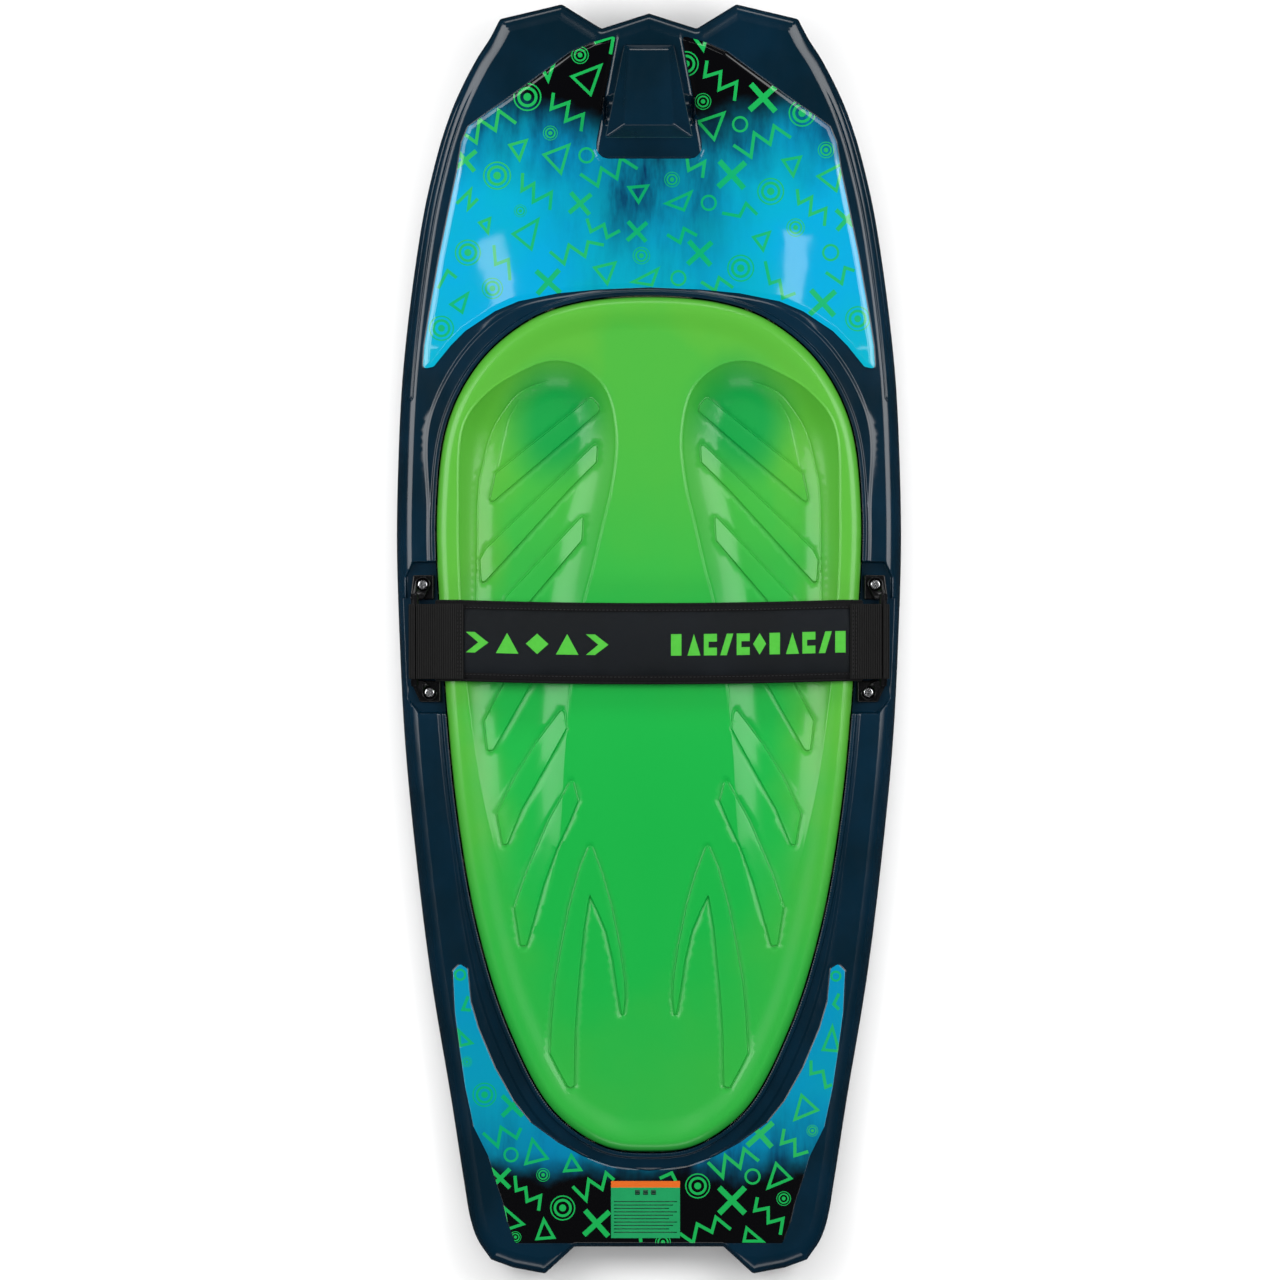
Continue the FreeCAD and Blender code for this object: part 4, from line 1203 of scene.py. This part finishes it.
def build_label():
    """A plain sticker: green with an orange head, ten blank lines and three blank squares."""
    low, high = cad("info_label")
    x0, y0, x1, y1 = low[0], low[1], high[0], high[1]
    head = y1 - 6.5
    rows = [y0, head - 8.0, head, y1]
    ys = np.concatenate([[y0]] + [np.linspace(a, b, k + 1)[1:] for a, b,
                                  k in zip(rows, rows[1:], (16, 4, 3))])
    flat, faces = grid_sheet(np.linspace(x0, x1, 25), ys)
    slots = flat[faces].mean(1)[:, 1] < head
    verts, faces, normals, extra = thickened(flat, faces, LABEL_LIFT, LABEL_THICK)
    slots = np.concatenate([slots, np.ones(extra)])
    orange = plain_film("label_head", srgb(236, 112, 40))
    green = plain_film("label_film", srgb(34, 160, 96))
    ink = plain_film("label_ink", srgb(8, 60, 40))
    body = mesh_object("label", verts, faces, [orange, green], normals, slots)
    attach(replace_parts(body, "info_label"), "board")
    blocks = []
    bars = [(x0 + 3, x1 - 3 - 4 * (k % 3), head - 14.5 - 3.4 * k, 0.9) for k in range(10)]
    bars += [(x - 2.4, x + 2.4, head - 7.2, 4.8) for x in (-11.5, -3.5, 4.5)]
    for a, b, y, tall in bars:
        verts, faces, _, _ = thickened(*grid_sheet(np.linspace(a, b, 8), (y, y + tall)),
                                       LABEL_LIFT + 0.12, LABEL_THICK)
        blocks.append((verts.tolist(), faces))
    marks = mesh_object("label_marks", *joined(blocks), [ink])
    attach(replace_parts(marks, "info_label"), "board")


# ---------------------------------------------------------------- knee pad
# The hollow for the left knee and shin, and the raised treads in it; the right side is its mirror.
WELL = [(-98, 279), (-69, 273.4), (-44.5, 250.5), (-33.6, 205), (-38, 154.5), (-47, 116), (-57, 72),
        (-65, 42),
        (-76, -20), (-84, -110), (-92, -220), (-112, -290), (-140, -250), (-163, -170), (-180, -60),
        (-188, 43), (-190, 130), (-184, 216), (-160, 248), (-130.4, 267)]
GROOVE = [(-98, 259.4), (-119.7, 253), (-132.5, 245.4), (-145.2, 230), (-155.4, 213.5), (-161.8, 195.6),
          (-166.3, 175.2), (-169.5, 161), (-171.4, 135.4), (-172, 91), (-172, 20), (-168, -60)]
LEAF = [(-130, 239), (-140.1, 222.4), (-145.2, 203.3), (-153, 167)]
TREADS = [
    [(-153.3, 166.5), (-57.8, 242.8), (-51, 235), (-49.5, 229), (-107, 180), (-159.9, 135.4)],
    [(-163.7, 90.7), (-51.5, 198.2), (-52.7, 177.8), (-81.4, 149.4), (-107, 121.3), (-145.2, 79.2),
     (-167.5, 55),
     (-169, 80)],
    [(-66, 124), (-67.4, 99.6), (-116.5, 42.2), (-150, 0), (-158, 10), (-142.7, 43), (-69.3, 121.3)],
    [(-72, 28), (-74, 8), (-117.2, -41.3), (-156, -110), (-161.2, -110.8), (-164.4, -80.8),
     (-144.6, -42.6)],
    [(-86, -67.4), (-82.7, -88.5), (-104.4, -128), (-127.4, -168.8), (-142, -204.5), (-146, -204.5),
     (-151.6, -174), (-132.5, -134.4), (-113.3, -103.8)],
    [(-76.8, -138.2), (-71.2, -160.5), (-79.1, -180), (-93, -209.9), (-105.5, -244.3), (-122.7, -305.7),
     (-128, -305.7), (-134.2, -267.3), (-121.6, -230.5), (-99.8, -180), (-86.5, -156)],
    [(-58.5, -203), (-68.8, -228), (-79.1, -266), (-87.2, -306), (-93.5, -342), (-97, -379),
     (-98.6, -413),
     (-91.7, -427), (-80.3, -447.8), (-75.1, -446.6), (-74, -390), (-71, -348), (-65.3, -289),
     (-60.2, -258),
     (-59, -255), (-51.6, -269.6), (-42.4, -291.4), (-35.5, -321), (-31.5, -350), (-26.3, -379),
     (-24, -359),
     (-24.6, -341), (-29.7, -305), (-37.8, -266), (-47, -234)],
]


def line_distance(p, line):
    """Distance of each point from an open line."""
    best = np.full(len(p), np.inf)
    for a, b in zip(line[:-1], line[1:]):
        ab = b - a
        t = np.clip(((p - a) @ ab) / (ab @ ab), 0, 1)
        best = np.minimum(best, np.hypot(*(p - a - t[:, None] * ab).T))
    return best


WELL_LINE = Outline(curve_through(WELL, 4.0, closed=True))
TREAD_LINES = [Outline(divided(rounded(t, 3.0), 2.0)) for t in TREADS]
GROOVE_LINE = curve_through(GROOVE, 4.0)
LEAF_LINE = curve_through(LEAF, 4.0)
PAD_ROUND = 11.0


def pad_top(p):
    """Height of the pad: domed rim, knee and shin wells, grooves and treads."""
    x, y = p[:, 0], p[:, 1]
    inside = PAD_EDGE.depth(p)
    left = np.column_stack([-abs(x), y])
    edge = np.clip(1 - inside / PAD_ROUND, 0, 1)
    z = deck(y) + PAD_PROUD - 11.5 * (1 - np.sqrt(np.clip(1 - edge**2, 0, 1)))
    z = z - 3.0 * ramp(inside, 12, 34)
    well = WELL_LINE.depth(left)
    knee = 21.0 * ramp(y, -60, 120) + 11.0 * ramp(y, -300, -40) * (1 - ramp(y, -60, 120))
    reach = 30 + 10 * ramp(y, -60, 120)
    bowl = np.sin(0.5 * math.pi * np.clip(well / reach, 0, 1))
    z = z - knee * bowl - 2.5 * ramp(-abs(x), -60, 0) * ramp(-y, 60, 300)
    z = z + 0.7 * np.exp(-((well + 0.6) / 1.3) ** 2) * ramp(y, -120, 0)
    near = abs(x) > 20
    channel = line_distance(left[near], GROOVE_LINE)
    fade = ramp(y[near], -60, 20) * (1 - ramp(left[near][:, 0], -115, -98))
    z[near] -= 1.2 * np.exp(-(channel / 0.9) ** 2) * fade
    leaf = line_distance(left[near], LEAF_LINE)
    z[near] -= 0.5 * np.exp(-(leaf / 1.0) ** 2)
    for tread in TREAD_LINES:
        lo, hi = tread.dense.min(0) - 3, tread.dense.max(0) + 3
        close = np.flatnonzero(((left > lo) & (left < hi)).all(1))
        if len(close):
            depth = tread.depth(left[close])
            z[close] += 2.1 * ramp(depth, -0.6, 0.6) - 0.55 * np.exp(-((depth + 1.3) / 0.75) ** 2)
    return z


def pad_base(p):
    return recess_floor(p) + 0.5


def build_pad():
    edge = np.round(PAD_EDGE.points, 3)
    rings = [rings_of(PAD_EDGE, (0.1, 0.4, 0.9, 1.6, 2.6, 3.8, 5.2, 6.8, 8.6, 10.6, 12.6), 2.5)]
    half = [rings_of(WELL_LINE, (-3.2, -2.0, -1.2, -0.6, 0, 0.6, 1.4, 2.6), 3.0)]
    half += [rings_of(tread, (-2.3, -1.6, -1.1, -0.6, -0.2, 0.2, 0.6), 2.0) for tread in TREAD_LINES]
    for line in (GROOVE_LINE, LEAF_LINE):
        across = right_of(unit(np.gradient(line, axis=0)))
        half += [line + across * d for d in (-1.6, -0.8, 0, 0.8, 1.6)]
    half = np.vstack(half)
    half = half[half[:, 0] < -0.5]
    points = np.vstack(rings + [half, half * (-1, 1)])
    points = thinned(points[PAD_EDGE.depth(points) > 0.05], 0.25)
    hard = np.vstack([edge, points])
    flat, faces, _ = triangulate(np.vstack([hard, fill_grid(PAD_EDGE, 4.5, hard)]), [edge])
    faces = counter_clockwise(flat, faces)
    top = (np.column_stack([flat, pad_top(flat)]), faces, normals_of(pad_top, flat))
    side = wall(edge, pad_top(edge), pad_base(edge), 3, -1)
    floor = sheet(edge, PAD_EDGE, 16.0, pad_base, -1)
    verts, faces, normals = weld([top, side, floor])
    pad = mesh_object("knee_pad_foam", verts, faces, [PAD_FOAM], normals)
    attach(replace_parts(pad, "knee_pad"), "board")


# ---------------------------------------------------------------- strap
def strap_line(x):
    """Height of the strap's underside, which slopes down to the anchors."""
    return STRAP_UNDER - SLOPE * np.maximum(0, abs(x) - BEND_X)


def strap_bow(x):
    """How far the strap's middle sags towards the tail."""
    return -3.2 * (1 - np.clip(abs(x) / 190, 0, 1) ** 2)


def rolled(share):
    """How thick the strap still is, from its middle line, 0, to its long edge, 1."""
    return math.sqrt(max(0.0, 1 - abs(share) ** 6))


def strap_block(side, y_low, y_high, z_low, z_high, crown=0.0, x_end=COVER_END, step=4.0, seam=None):
    """One side of a layer of the strap, closed, with its long edges rounded over."""
    xs = np.linspace(0, x_end, int(x_end / step) + 1)
    mid, half = (y_low + y_high) / 2, (y_high - y_low) / 2
    across = np.sin(np.linspace(-math.pi / 2, math.pi / 2, 26))
    verts = []
    upper = [(mid + half * a, 1) for a in across]
    lower = [(mid + half * a, 0) for a in across[::-1][1:-1]]
    around = upper + lower
    middle, thick = (z_low + z_high) / 2, (z_high - z_low) / 2
    for x in xs:
        for y, top in around:
            share = (y - mid) / half
            z = middle + (thick if top else -thick) * rolled(share) + (crown * (1 - share**2) if top else 0)
            if seam and top:
                z -= 0.7 * sum(math.exp(-((y - s) / 0.9) ** 2) for s in seam)
            verts.append((side * x, y + strap_bow(x), z + strap_line(x) - STRAP_UNDER))
    return verts, swept(len(xs), len(around))


def finish_strap(piece, nodes):
    """Gives a layer of the strap flat end faces, turns its faces outward, hides the CAD nodes that it
    stands for, and makes its placement part of its mesh.
    """
    flat_ends(piece)
    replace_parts(face_outward(piece), *nodes)
    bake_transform(piece)


def stitches(points, length=2.6, gap=1.3, width=0.55):
    """A row of short raised stitches along a line of points."""
    p = np.array(points, float)
    along = lengths(p)
    rings, corners = 5, 6
    verts, faces = [], []
    at = gap
    while at + length < along[-1]:
        ends = [np.array([np.interp(s, along, p[:, k]) for k in range(3)])
                for s in np.linspace(at, at + length, rings)]
        ahead = (ends[-1] - ends[0]) / np.linalg.norm(ends[-1] - ends[0])
        side = np.cross(ahead, (0, 0, 1))
        side /= np.linalg.norm(side)
        up = np.cross(side, ahead)
        faces += [tuple(len(verts) + i for i in face) for face in swept(rings, corners)]
        for k, centre in enumerate(ends):
            grow = math.sin(math.pi * (0.12 + 0.76 * k / (rings - 1)))
            for a in range(corners):
                turn = a * math.pi / 3
                away = side * math.cos(turn) + up * (math.sin(turn) + 0.35)
                verts.append(centre + width / 2 * grow * away)
        at += length + gap
    return verts, faces


def cover_height(x, y):
    """Top of the strap's cover."""
    share = (y - STRAP_MIDDLE) / STRAP_HALF
    rise = 4.5 * rolled(share) + STRAP_CROWN * (1 - share**2)
    return 70.5 + rise + strap_line(x) - STRAP_UNDER


# marks of the strap's print, each in a cell from 0,0 to 1,1
GLYPHS = {
    "chevron": [(0, 0), (0.4, 0), (1, 0.5), (0.4, 1), (0, 1), (0.55, 0.5)],
    "wedge": [(0, 0), (1, 0), (0.5, 1)],
    "block": [(0, 0), (1, 0), (1, 0.36), (0.36, 0.36), (0.36, 0.64), (1, 0.64), (1, 1), (0, 1)],
    "slant": [(0, 0), (0.5, 0), (1, 1), (0.5, 1)],
    "post": [(0, 0), (0.8, 0), (0.8, 1), (0, 1)],
    "diamond": [(0.5, 0), (1, 0.5), (0.5, 1), (0, 0.5)],
}


def build_print(side, glyphs, start, width, gap, low=-12.5, tall=21.5):
    """Plain green marks printed on the strap, in a row of cells."""
    verts, faces = [], []
    for k, glyph in enumerate(glyphs):
        outline = np.array(GLYPHS[glyph]) * (width, tall) + (start + k * (width + gap), low)
        line = divided(outline, 3.0)
        flat, tris, _ = triangulate(line, [line])
        tris = counter_clockwise(flat, tris)
        tops = [(x, y + strap_bow(x), cover_height(x, y) + 0.12) for x, y in flat]
        n = len(tops)
        sides = [(a, a + n, b + n, b) for a, b in open_edges(tris)]
        block = tris.tolist() + (tris[:, ::-1] + n).tolist() + sides
        faces += [tuple(i + len(verts) for i in face) for face in block]
        verts += tops + [(x, y, z - 0.4) for x, y, z in tops]
    name = "strap_print_right" if side > 0 else "strap_print_left"
    piece = mesh_object(name, verts, faces, [PRINT])
    for polygon in piece.data.polygons:
        polygon.use_smooth = False
    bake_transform(piece)


def build_strap():
    """The strap's layers, edge tapes, stitching and print; each side is a piece of its own."""
    y0, y1 = STRAP_REAR, STRAP_FRONT
    for name, side in SIDES.items():
        end = [name + "_strap_end"]
        block = strap_block(side, y0 + 0.6, y1 - 0.6, 66.9, 75.0, STRAP_CROWN, seam=(y0 + 9, y1 - 9))
        cover = mesh_object(name + "_strap_cover", *block, [COVER])
        finish_strap(cover, ["strap_cover_top"] + end)
        block = strap_block(side, y0 + 0.8, y1 - 0.8, 65.9, 66.8)
        back = mesh_object(name + "_strap_lining", *block, [LINING])
        finish_strap(back, ["strap_cover_back"] + end)
        block = strap_block(side, y0 + 8, y1 - 8, 67.3, 69.1, x_end=212)
        web = mesh_object(name + "_strap_webbing", *block, [WEBBING])
        finish_strap(web, ["strap_webbing"] + end)
        block = strap_block(side, y0 + 2.5, y1 - 2.5, 69.3, 73.6, 1.0, 212)
        soft = mesh_object(name + "_strap_padding", *block, [PADDING])
        finish_strap(soft, ["strap_foam"] + end)
        for edge, at, sign in (("rear", y0, 1), ("front", y1, -1)):
            tape = mesh_object(name + "_strap_binding_" + edge, *binding_tape(side, at, sign), [BINDING])
            finish_strap(tape, ["strap_binding_" + edge])
            y = at + sign * 6.6
            line = [(side * x, y + strap_bow(x), cover_height(x, y) + 0.95)
                    for x in np.arange(0, COVER_END, 3.0)]
            row = mesh_object(name + "_strap_stitching_" + edge, *stitches(line), [THREAD])
            face_outward(row)
            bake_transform(row)
    build_print(-1, ["chevron", "wedge", "diamond", "wedge", "chevron"], -183.0, 22.5, 7.5, -12.0, 20.5)
    word = ["post", "wedge", "block", "slant", "block"]
    build_print(1, word + ["diamond"] + word[:4] + ["post"], 22.0, 13.0, 3.4)


def binding_tape(side, at, sign):
    """Tape folded round a long edge: over the top, round the edge and back under."""
    xs = np.arange(0, COVER_END + 0.1, 3.0)
    mid = 70.6
    verts = []
    for x in xs:
        drop = strap_line(x) - STRAP_UNDER

        def over(d, lift):
            return at + sign * d, cover_height(x, at + sign * d) - drop + lift

        around = [over(d, 0.75) for d in (8.2, 7.0, 5.0, 3.2, 1.8)]
        for r in np.radians(np.linspace(70, -70, 9)):
            around.append((at + sign * (1.2 - 1.9 * math.cos(r)), mid + 4.9 * math.sin(r)))
        around += [(at + sign * d, z) for d, z in ((2.0, 65.25), (4.5, 65.25), (8.0, 65.25), (8.2, 65.8),
                                                   (2.0, 66.2), (0.9, mid), (2.2, 74.0))]
        around.append(over(8.2, 0.05))
        verts += [(side * x, y + strap_bow(x), z + drop) for y, z in around]
    return verts, swept(len(xs), len(around))


# ---------------------------------------------------------------- webbing at the anchors
def ribbed_band(line, y_low, y_high, thick, rib=2.2, depth=0.28, step=0.45):
    """A ply of webbing that follows a line in X and Z, ribbed across, with rounded selvedges."""
    p = np.array(line, float)
    along = lengths(p)
    at = np.linspace(0, along[-1], max(8, int(along[-1] / step)))
    centre = np.stack([np.interp(at, along, p[:, k]) for k in range(2)], 1)
    ahead = np.pad(unit(np.gradient(centre, axis=0)), ((3, 3), (0, 0)), "edge")
    ahead = unit(np.stack([np.convolve(ahead[:, k], np.ones(7) / 7, "valid") for k in range(2)], 1))
    up = -right_of(ahead)
    if up[0, 1] < 0:
        up = -up
    wave = depth * np.sin(2 * math.pi * at / rib)
    ys = np.concatenate([[y_low, y_low + 0.3, y_low + 1.0], np.linspace(y_low + 2.5, y_high - 2.5, 12),
                         [y_high - 1.0, y_high - 0.3, y_high]])
    edge = np.minimum(np.minimum(ys - y_low, y_high - ys) / 1.0, 1) ** 0.5
    rows = list(zip(ys, edge))
    verts = []
    for k in range(len(at)):
        for face, swing, row in ((1, 1.0, rows), (-1, 0.5, rows[::-1])):
            for y, e in row:
                off = face * thick / 2 * (0.35 + 0.65 * e) + wave[k] * e * swing
                x, z = centre[k] + up[k] * off
                verts.append((x, y, z))
    return verts, swept(len(at), 2 * len(rows))


def build_webbing():
    """On each side, the tab folded back on the strap and the loop round the bar."""
    top_of_patches = STRAP_TOP - STRAP_UNDER + 2 * PATCH + PATCH_GAP
    core = WEB * 0.8          # the ribs take up the rest of the webbing's thickness
    radius = BAR_R + PLY_GAP + WEB / 2
    for name, side in SIDES.items():
        end = TAB_END[name]
        line = [(side * x, float(strap_line(x)) + top_of_patches + WEB / 2)
                for x in np.linspace(end, COVER_END, 6)]
        line += [(side * (BAR_X - 8), BAR_Z + radius + 4.2), (side * (BAR_X - 1.5), BAR_Z + radius + 0.6)]
        band = ribbed_band(line, TAB_REAR, TAB_FRONT, core)
        tab = mesh_object(name + "_tab_webbing", *band, [WEBBING])
        flat_ends(face_outward(tab))
        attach(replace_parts(tab, name + "_tab"), name + "_tab")
        rows = []
        for x in (end + 3.0, end + 6.0):
            z = float(strap_line(x)) + top_of_patches + WEB + 0.1
            rows.append(stitches([(side * x, TAB_REAR + 3, z), (side * x, TAB_FRONT - 3, z)]))
        row = mesh_object(name + "_tab_stitching", *joined(rows), [THREAD])
        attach(face_outward(row), name + "_tab")

        start = COVER_END - 5
        line = [(side * start, float(strap_line(start)) - 1.2), (side * (COVER_END + 14), BAR_Z - radius)]
        for a in np.radians(np.linspace(-90, 90, 17)):
            line.append((side * (BAR_X + radius * math.cos(a)), BAR_Z + radius * math.sin(a)))
        band = ribbed_band(line, TAB_REAR, TAB_FRONT, core)
        loop = mesh_object(name + "_strap_loop_webbing", *band, [WEBBING])
        flat_ends(face_outward(loop))
        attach(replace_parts(loop, name + "_strap_loop"), "board")


def flat_ends(piece):
    """Keeps the end faces of a swept piece from darkening the faces next to them."""
    bm = bmesh.new()
    bm.from_mesh(piece.data)
    for face in bm.faces:
        face.smooth = len(face.verts) <= 4
        if not face.smooth:
            for edge in face.edges:
                edge.smooth = False
    bm.to_mesh(piece.data)
    bm.free()


# ---------------------------------------------------------------- brackets
def build_brackets():
    """Feet with a raised tongue round each screw, and the bar between them."""
    for name, side in SIDES.items():
        pieces = []
        for x, y in SCREWS:
            toward = 1 if y > 0 else -1
            inner = toward * 40.5
            outer = y + toward * 9.5
            foot = [(x - 11, outer), (x + 9.5, outer), (BAR_X + 5, inner), (x - 11, inner)]
            a = np.linspace(0, math.pi, 17)
            cap = np.column_stack([x + 8 * np.cos(a), y + toward * 8 * np.sin(a)])
            arm = [tuple(q) for q in cap] + [(BAR_X - 8, inner), (BAR_X + 4, inner)]
            pieces.append((foot, POCKET_FLOOR, POCKET_FLOOR + 5.0, 1.2))
            pieces.append((arm, POCKET_FLOOR + 1.0, 57.0, 0.9))
        made = []
        for k, (outline, low, high, round_by) in enumerate(pieces):
            outline = [(side * x, y) for x, y in outline]
            block = mesh_object(f"{name}_bracket_part{k}", *prism_mesh(outline, low, high), [NYLON])
            made.append(beveled(face_outward(block), round_by))
        for x, y in SCREWS:
            cut = mesh_object("cut", *prism_mesh(circle(side * x, y, 6.6, 32), 52.5, 70), [NYLON])
            for block in made:
                bore = block.modifiers.new("bore", "BOOLEAN")
                bore.operation, bore.object, bore.solver = "DIFFERENCE", face_outward(cut), "EXACT"
                applied(block)
            bpy.data.objects.remove(cut)
        made.append(face_outward(mesh_object(name + "_bracket_bar", *bar_mesh(side), [NYLON])))
        piece = merge(made, name + "_bracket")
        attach(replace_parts(piece, name + "_anchor_bracket"), "board")


def bar_mesh(side):
    """The bar that the webbing turns round, with chamfered ends."""
    n = 24
    turns = [2 * math.pi * k / n for k in range(n)]
    rings = [(-46.5, BAR_R - 0.8), (-45.5, BAR_R), (45.5, BAR_R), (46.5, BAR_R - 0.8)]
    verts = [(side * BAR_X + r * math.cos(t), y, BAR_Z + r * math.sin(t)) for y, r in rings for t in turns]
    return verts, swept(len(rings), n)


def merge(pieces, name):
    """Several mesh objects as one."""
    bm = bmesh.new()
    for piece in pieces:
        bm.from_mesh(piece.data)
    mesh = bpy.data.meshes.new(name)
    bm.to_mesh(mesh)
    bm.free()
    mesh.materials.append(pieces[0].data.materials[0])
    for piece in pieces:
        bpy.data.objects.remove(piece)
    made = bpy.data.objects.new(name, mesh)
    bpy.context.scene.collection.objects.link(made)
    return made


# ---------------------------------------------------------------- studio
STRIP_LIT = bpy.data.collections.new("lit_by_the_strips")
WASH_LIT = bpy.data.collections.new("lit_by_the_wash")


def softbox(name, place, aim, width, length, watts, only=None):
    """A rectangular lamp, which lights only one collection if that is given."""
    light = bpy.data.lights.new(name, "AREA")
    light.shape = "RECTANGLE"
    light.size, light.size_y = width, length
    light.energy = watts
    lamp = bpy.data.objects.new(name, light)
    lamp.location = place
    lamp.rotation_euler = (Vector(aim) - Vector(place)).to_track_quat("-Z", "Y").to_euler()
    lamp.visible_diffuse = only is not STRIP_LIT
    lamp.light_linking.receiver_collection = only
    bpy.context.scene.collection.objects.link(lamp)
    return lamp


def build_studio():
    """A pale floor, soft lamps, and a camera straight above, far off to flatten the view."""
    scene = bpy.context.scene
    floor_z = float(cad_box[0].z) - 0.0003
    mesh = bpy.data.meshes.new("floor")
    half = 12.0
    mesh.from_pydata([(-half, -half, floor_z), (half, -half, floor_z), (half, half, floor_z),
                      (-half, half, floor_z)],
                     [], [(0, 1, 2, 3)])
    floor = bpy.data.objects.new("floor", mesh)
    scene.collection.objects.link(floor)
    m = Nodes("floor_paper")
    m.set(Base_Color=m.mix(m.noise(3.0, 3), (0.93, 0.93, 0.93), (0.96, 0.96, 0.96)), Roughness=0.9)
    mesh.materials.append(m.bump(m.noise(80.0, 3), 0.0002, 0.3).material)
    floor.visible_glossy = False
    WASH_LIT.objects.link(floor)

    world = bpy.data.worlds.new("studio")
    scene.world = world
    world.use_nodes = True
    sky = world.node_tree.nodes["Background"].inputs
    sky["Color"].default_value = (0.95, 0.97, 1.0, 1)
    sky["Strength"].default_value = 0.03

    softbox("key_left", (-1.45, 0.3, 1.5), (0, 0.05, 0.05), 0.9, 1.9, 33)
    softbox("key_right", (1.45, 0.3, 1.5), (0, 0.05, 0.05), 0.9, 1.9, 33)
    softbox("nose_fill", (0, 2.3, 1.3), (0, 0.3, 0), 2.0, 0.7, 24)
    softbox("tail_fill", (0, -2.2, 1.3), (0, -0.4, 0), 2.0, 0.7, 14)
    softbox("strip_left", (-0.285, -0.26, 3.0), (-0.15, 0.37, 0.08), 0.07, 0.27, 0.2, STRIP_LIT)
    softbox("strip_right", (0.265, -0.26, 3.0), (0.15, 0.37, 0.08), 0.07, 0.27, 0.2, STRIP_LIT)

    softbox("edge_left", (-1.0, -0.45, 3.0), (-0.2, 0.35, 0.08), 0.3, 1.3, 5.0, STRIP_LIT)
    softbox("edge_right", (1.0, -0.45, 3.0), (0.2, 0.35, 0.08), 0.3, 1.3, 5.0, STRIP_LIT)
    softbox("floor_wash", (0, 0, 3.4), (0, 0, 0), 3.4, 3.4, 50, WASH_LIT)

    camera = bpy.data.cameras.new("camera")
    camera.sensor_width = 36.0
    distance = 20.0
    frame_width = 1.28
    subject_z = 0.055
    camera.lens = camera.sensor_width * (distance - subject_z) / frame_width
    camera.clip_end = 100
    eye = bpy.data.objects.new("camera", camera)
    eye.location = (-0.009, 0, distance)
    eye.rotation_euler = (0, 0, 0)
    scene.collection.objects.link(eye)
    scene.camera = eye
    scene.view_settings.view_transform = "Standard"


def paint_cad_nodes():
    """Finishes for the CAD nodes that stay."""
    finishes = {"foam_fill_plug": SHELL}
    for side in SIDES:
        finishes[side + "_anchor_screws"] = STEEL
        finishes[side + "_anchor_inserts"] = BRASS
        finishes[side + "_loop_patch"] = LOOPS
        finishes[side + "_hook_patch"] = HOOKS
    for node, material in finishes.items():
        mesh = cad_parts[node].data
        mesh.materials.clear()
        mesh.materials.append(material)


build_studio()
build_hull()
build_tow_hook()
build_film("nose_film", "nose_graphic", NOSE_PANEL,
           (NOSE_STROKES, NOSE_TRIANGLES, NOSE_CROSSES, NOSE_RINGS, NOSE_DISCS),
           graphic_film("graphic_film_nose", True, False), graphic_film("graphic_line_nose", True, True))
build_film("tail_film", "tail_graphic", TAIL_PANEL,
           (TAIL_STROKES, TAIL_TRIANGLES, TAIL_CROSSES, TAIL_RINGS, TAIL_DISCS),
           graphic_film("graphic_film_tail", False, False),
           graphic_film("graphic_line_tail", False, True))
build_label()
build_pad()
build_strap()
build_webbing()
build_brackets()
paint_cad_nodes()
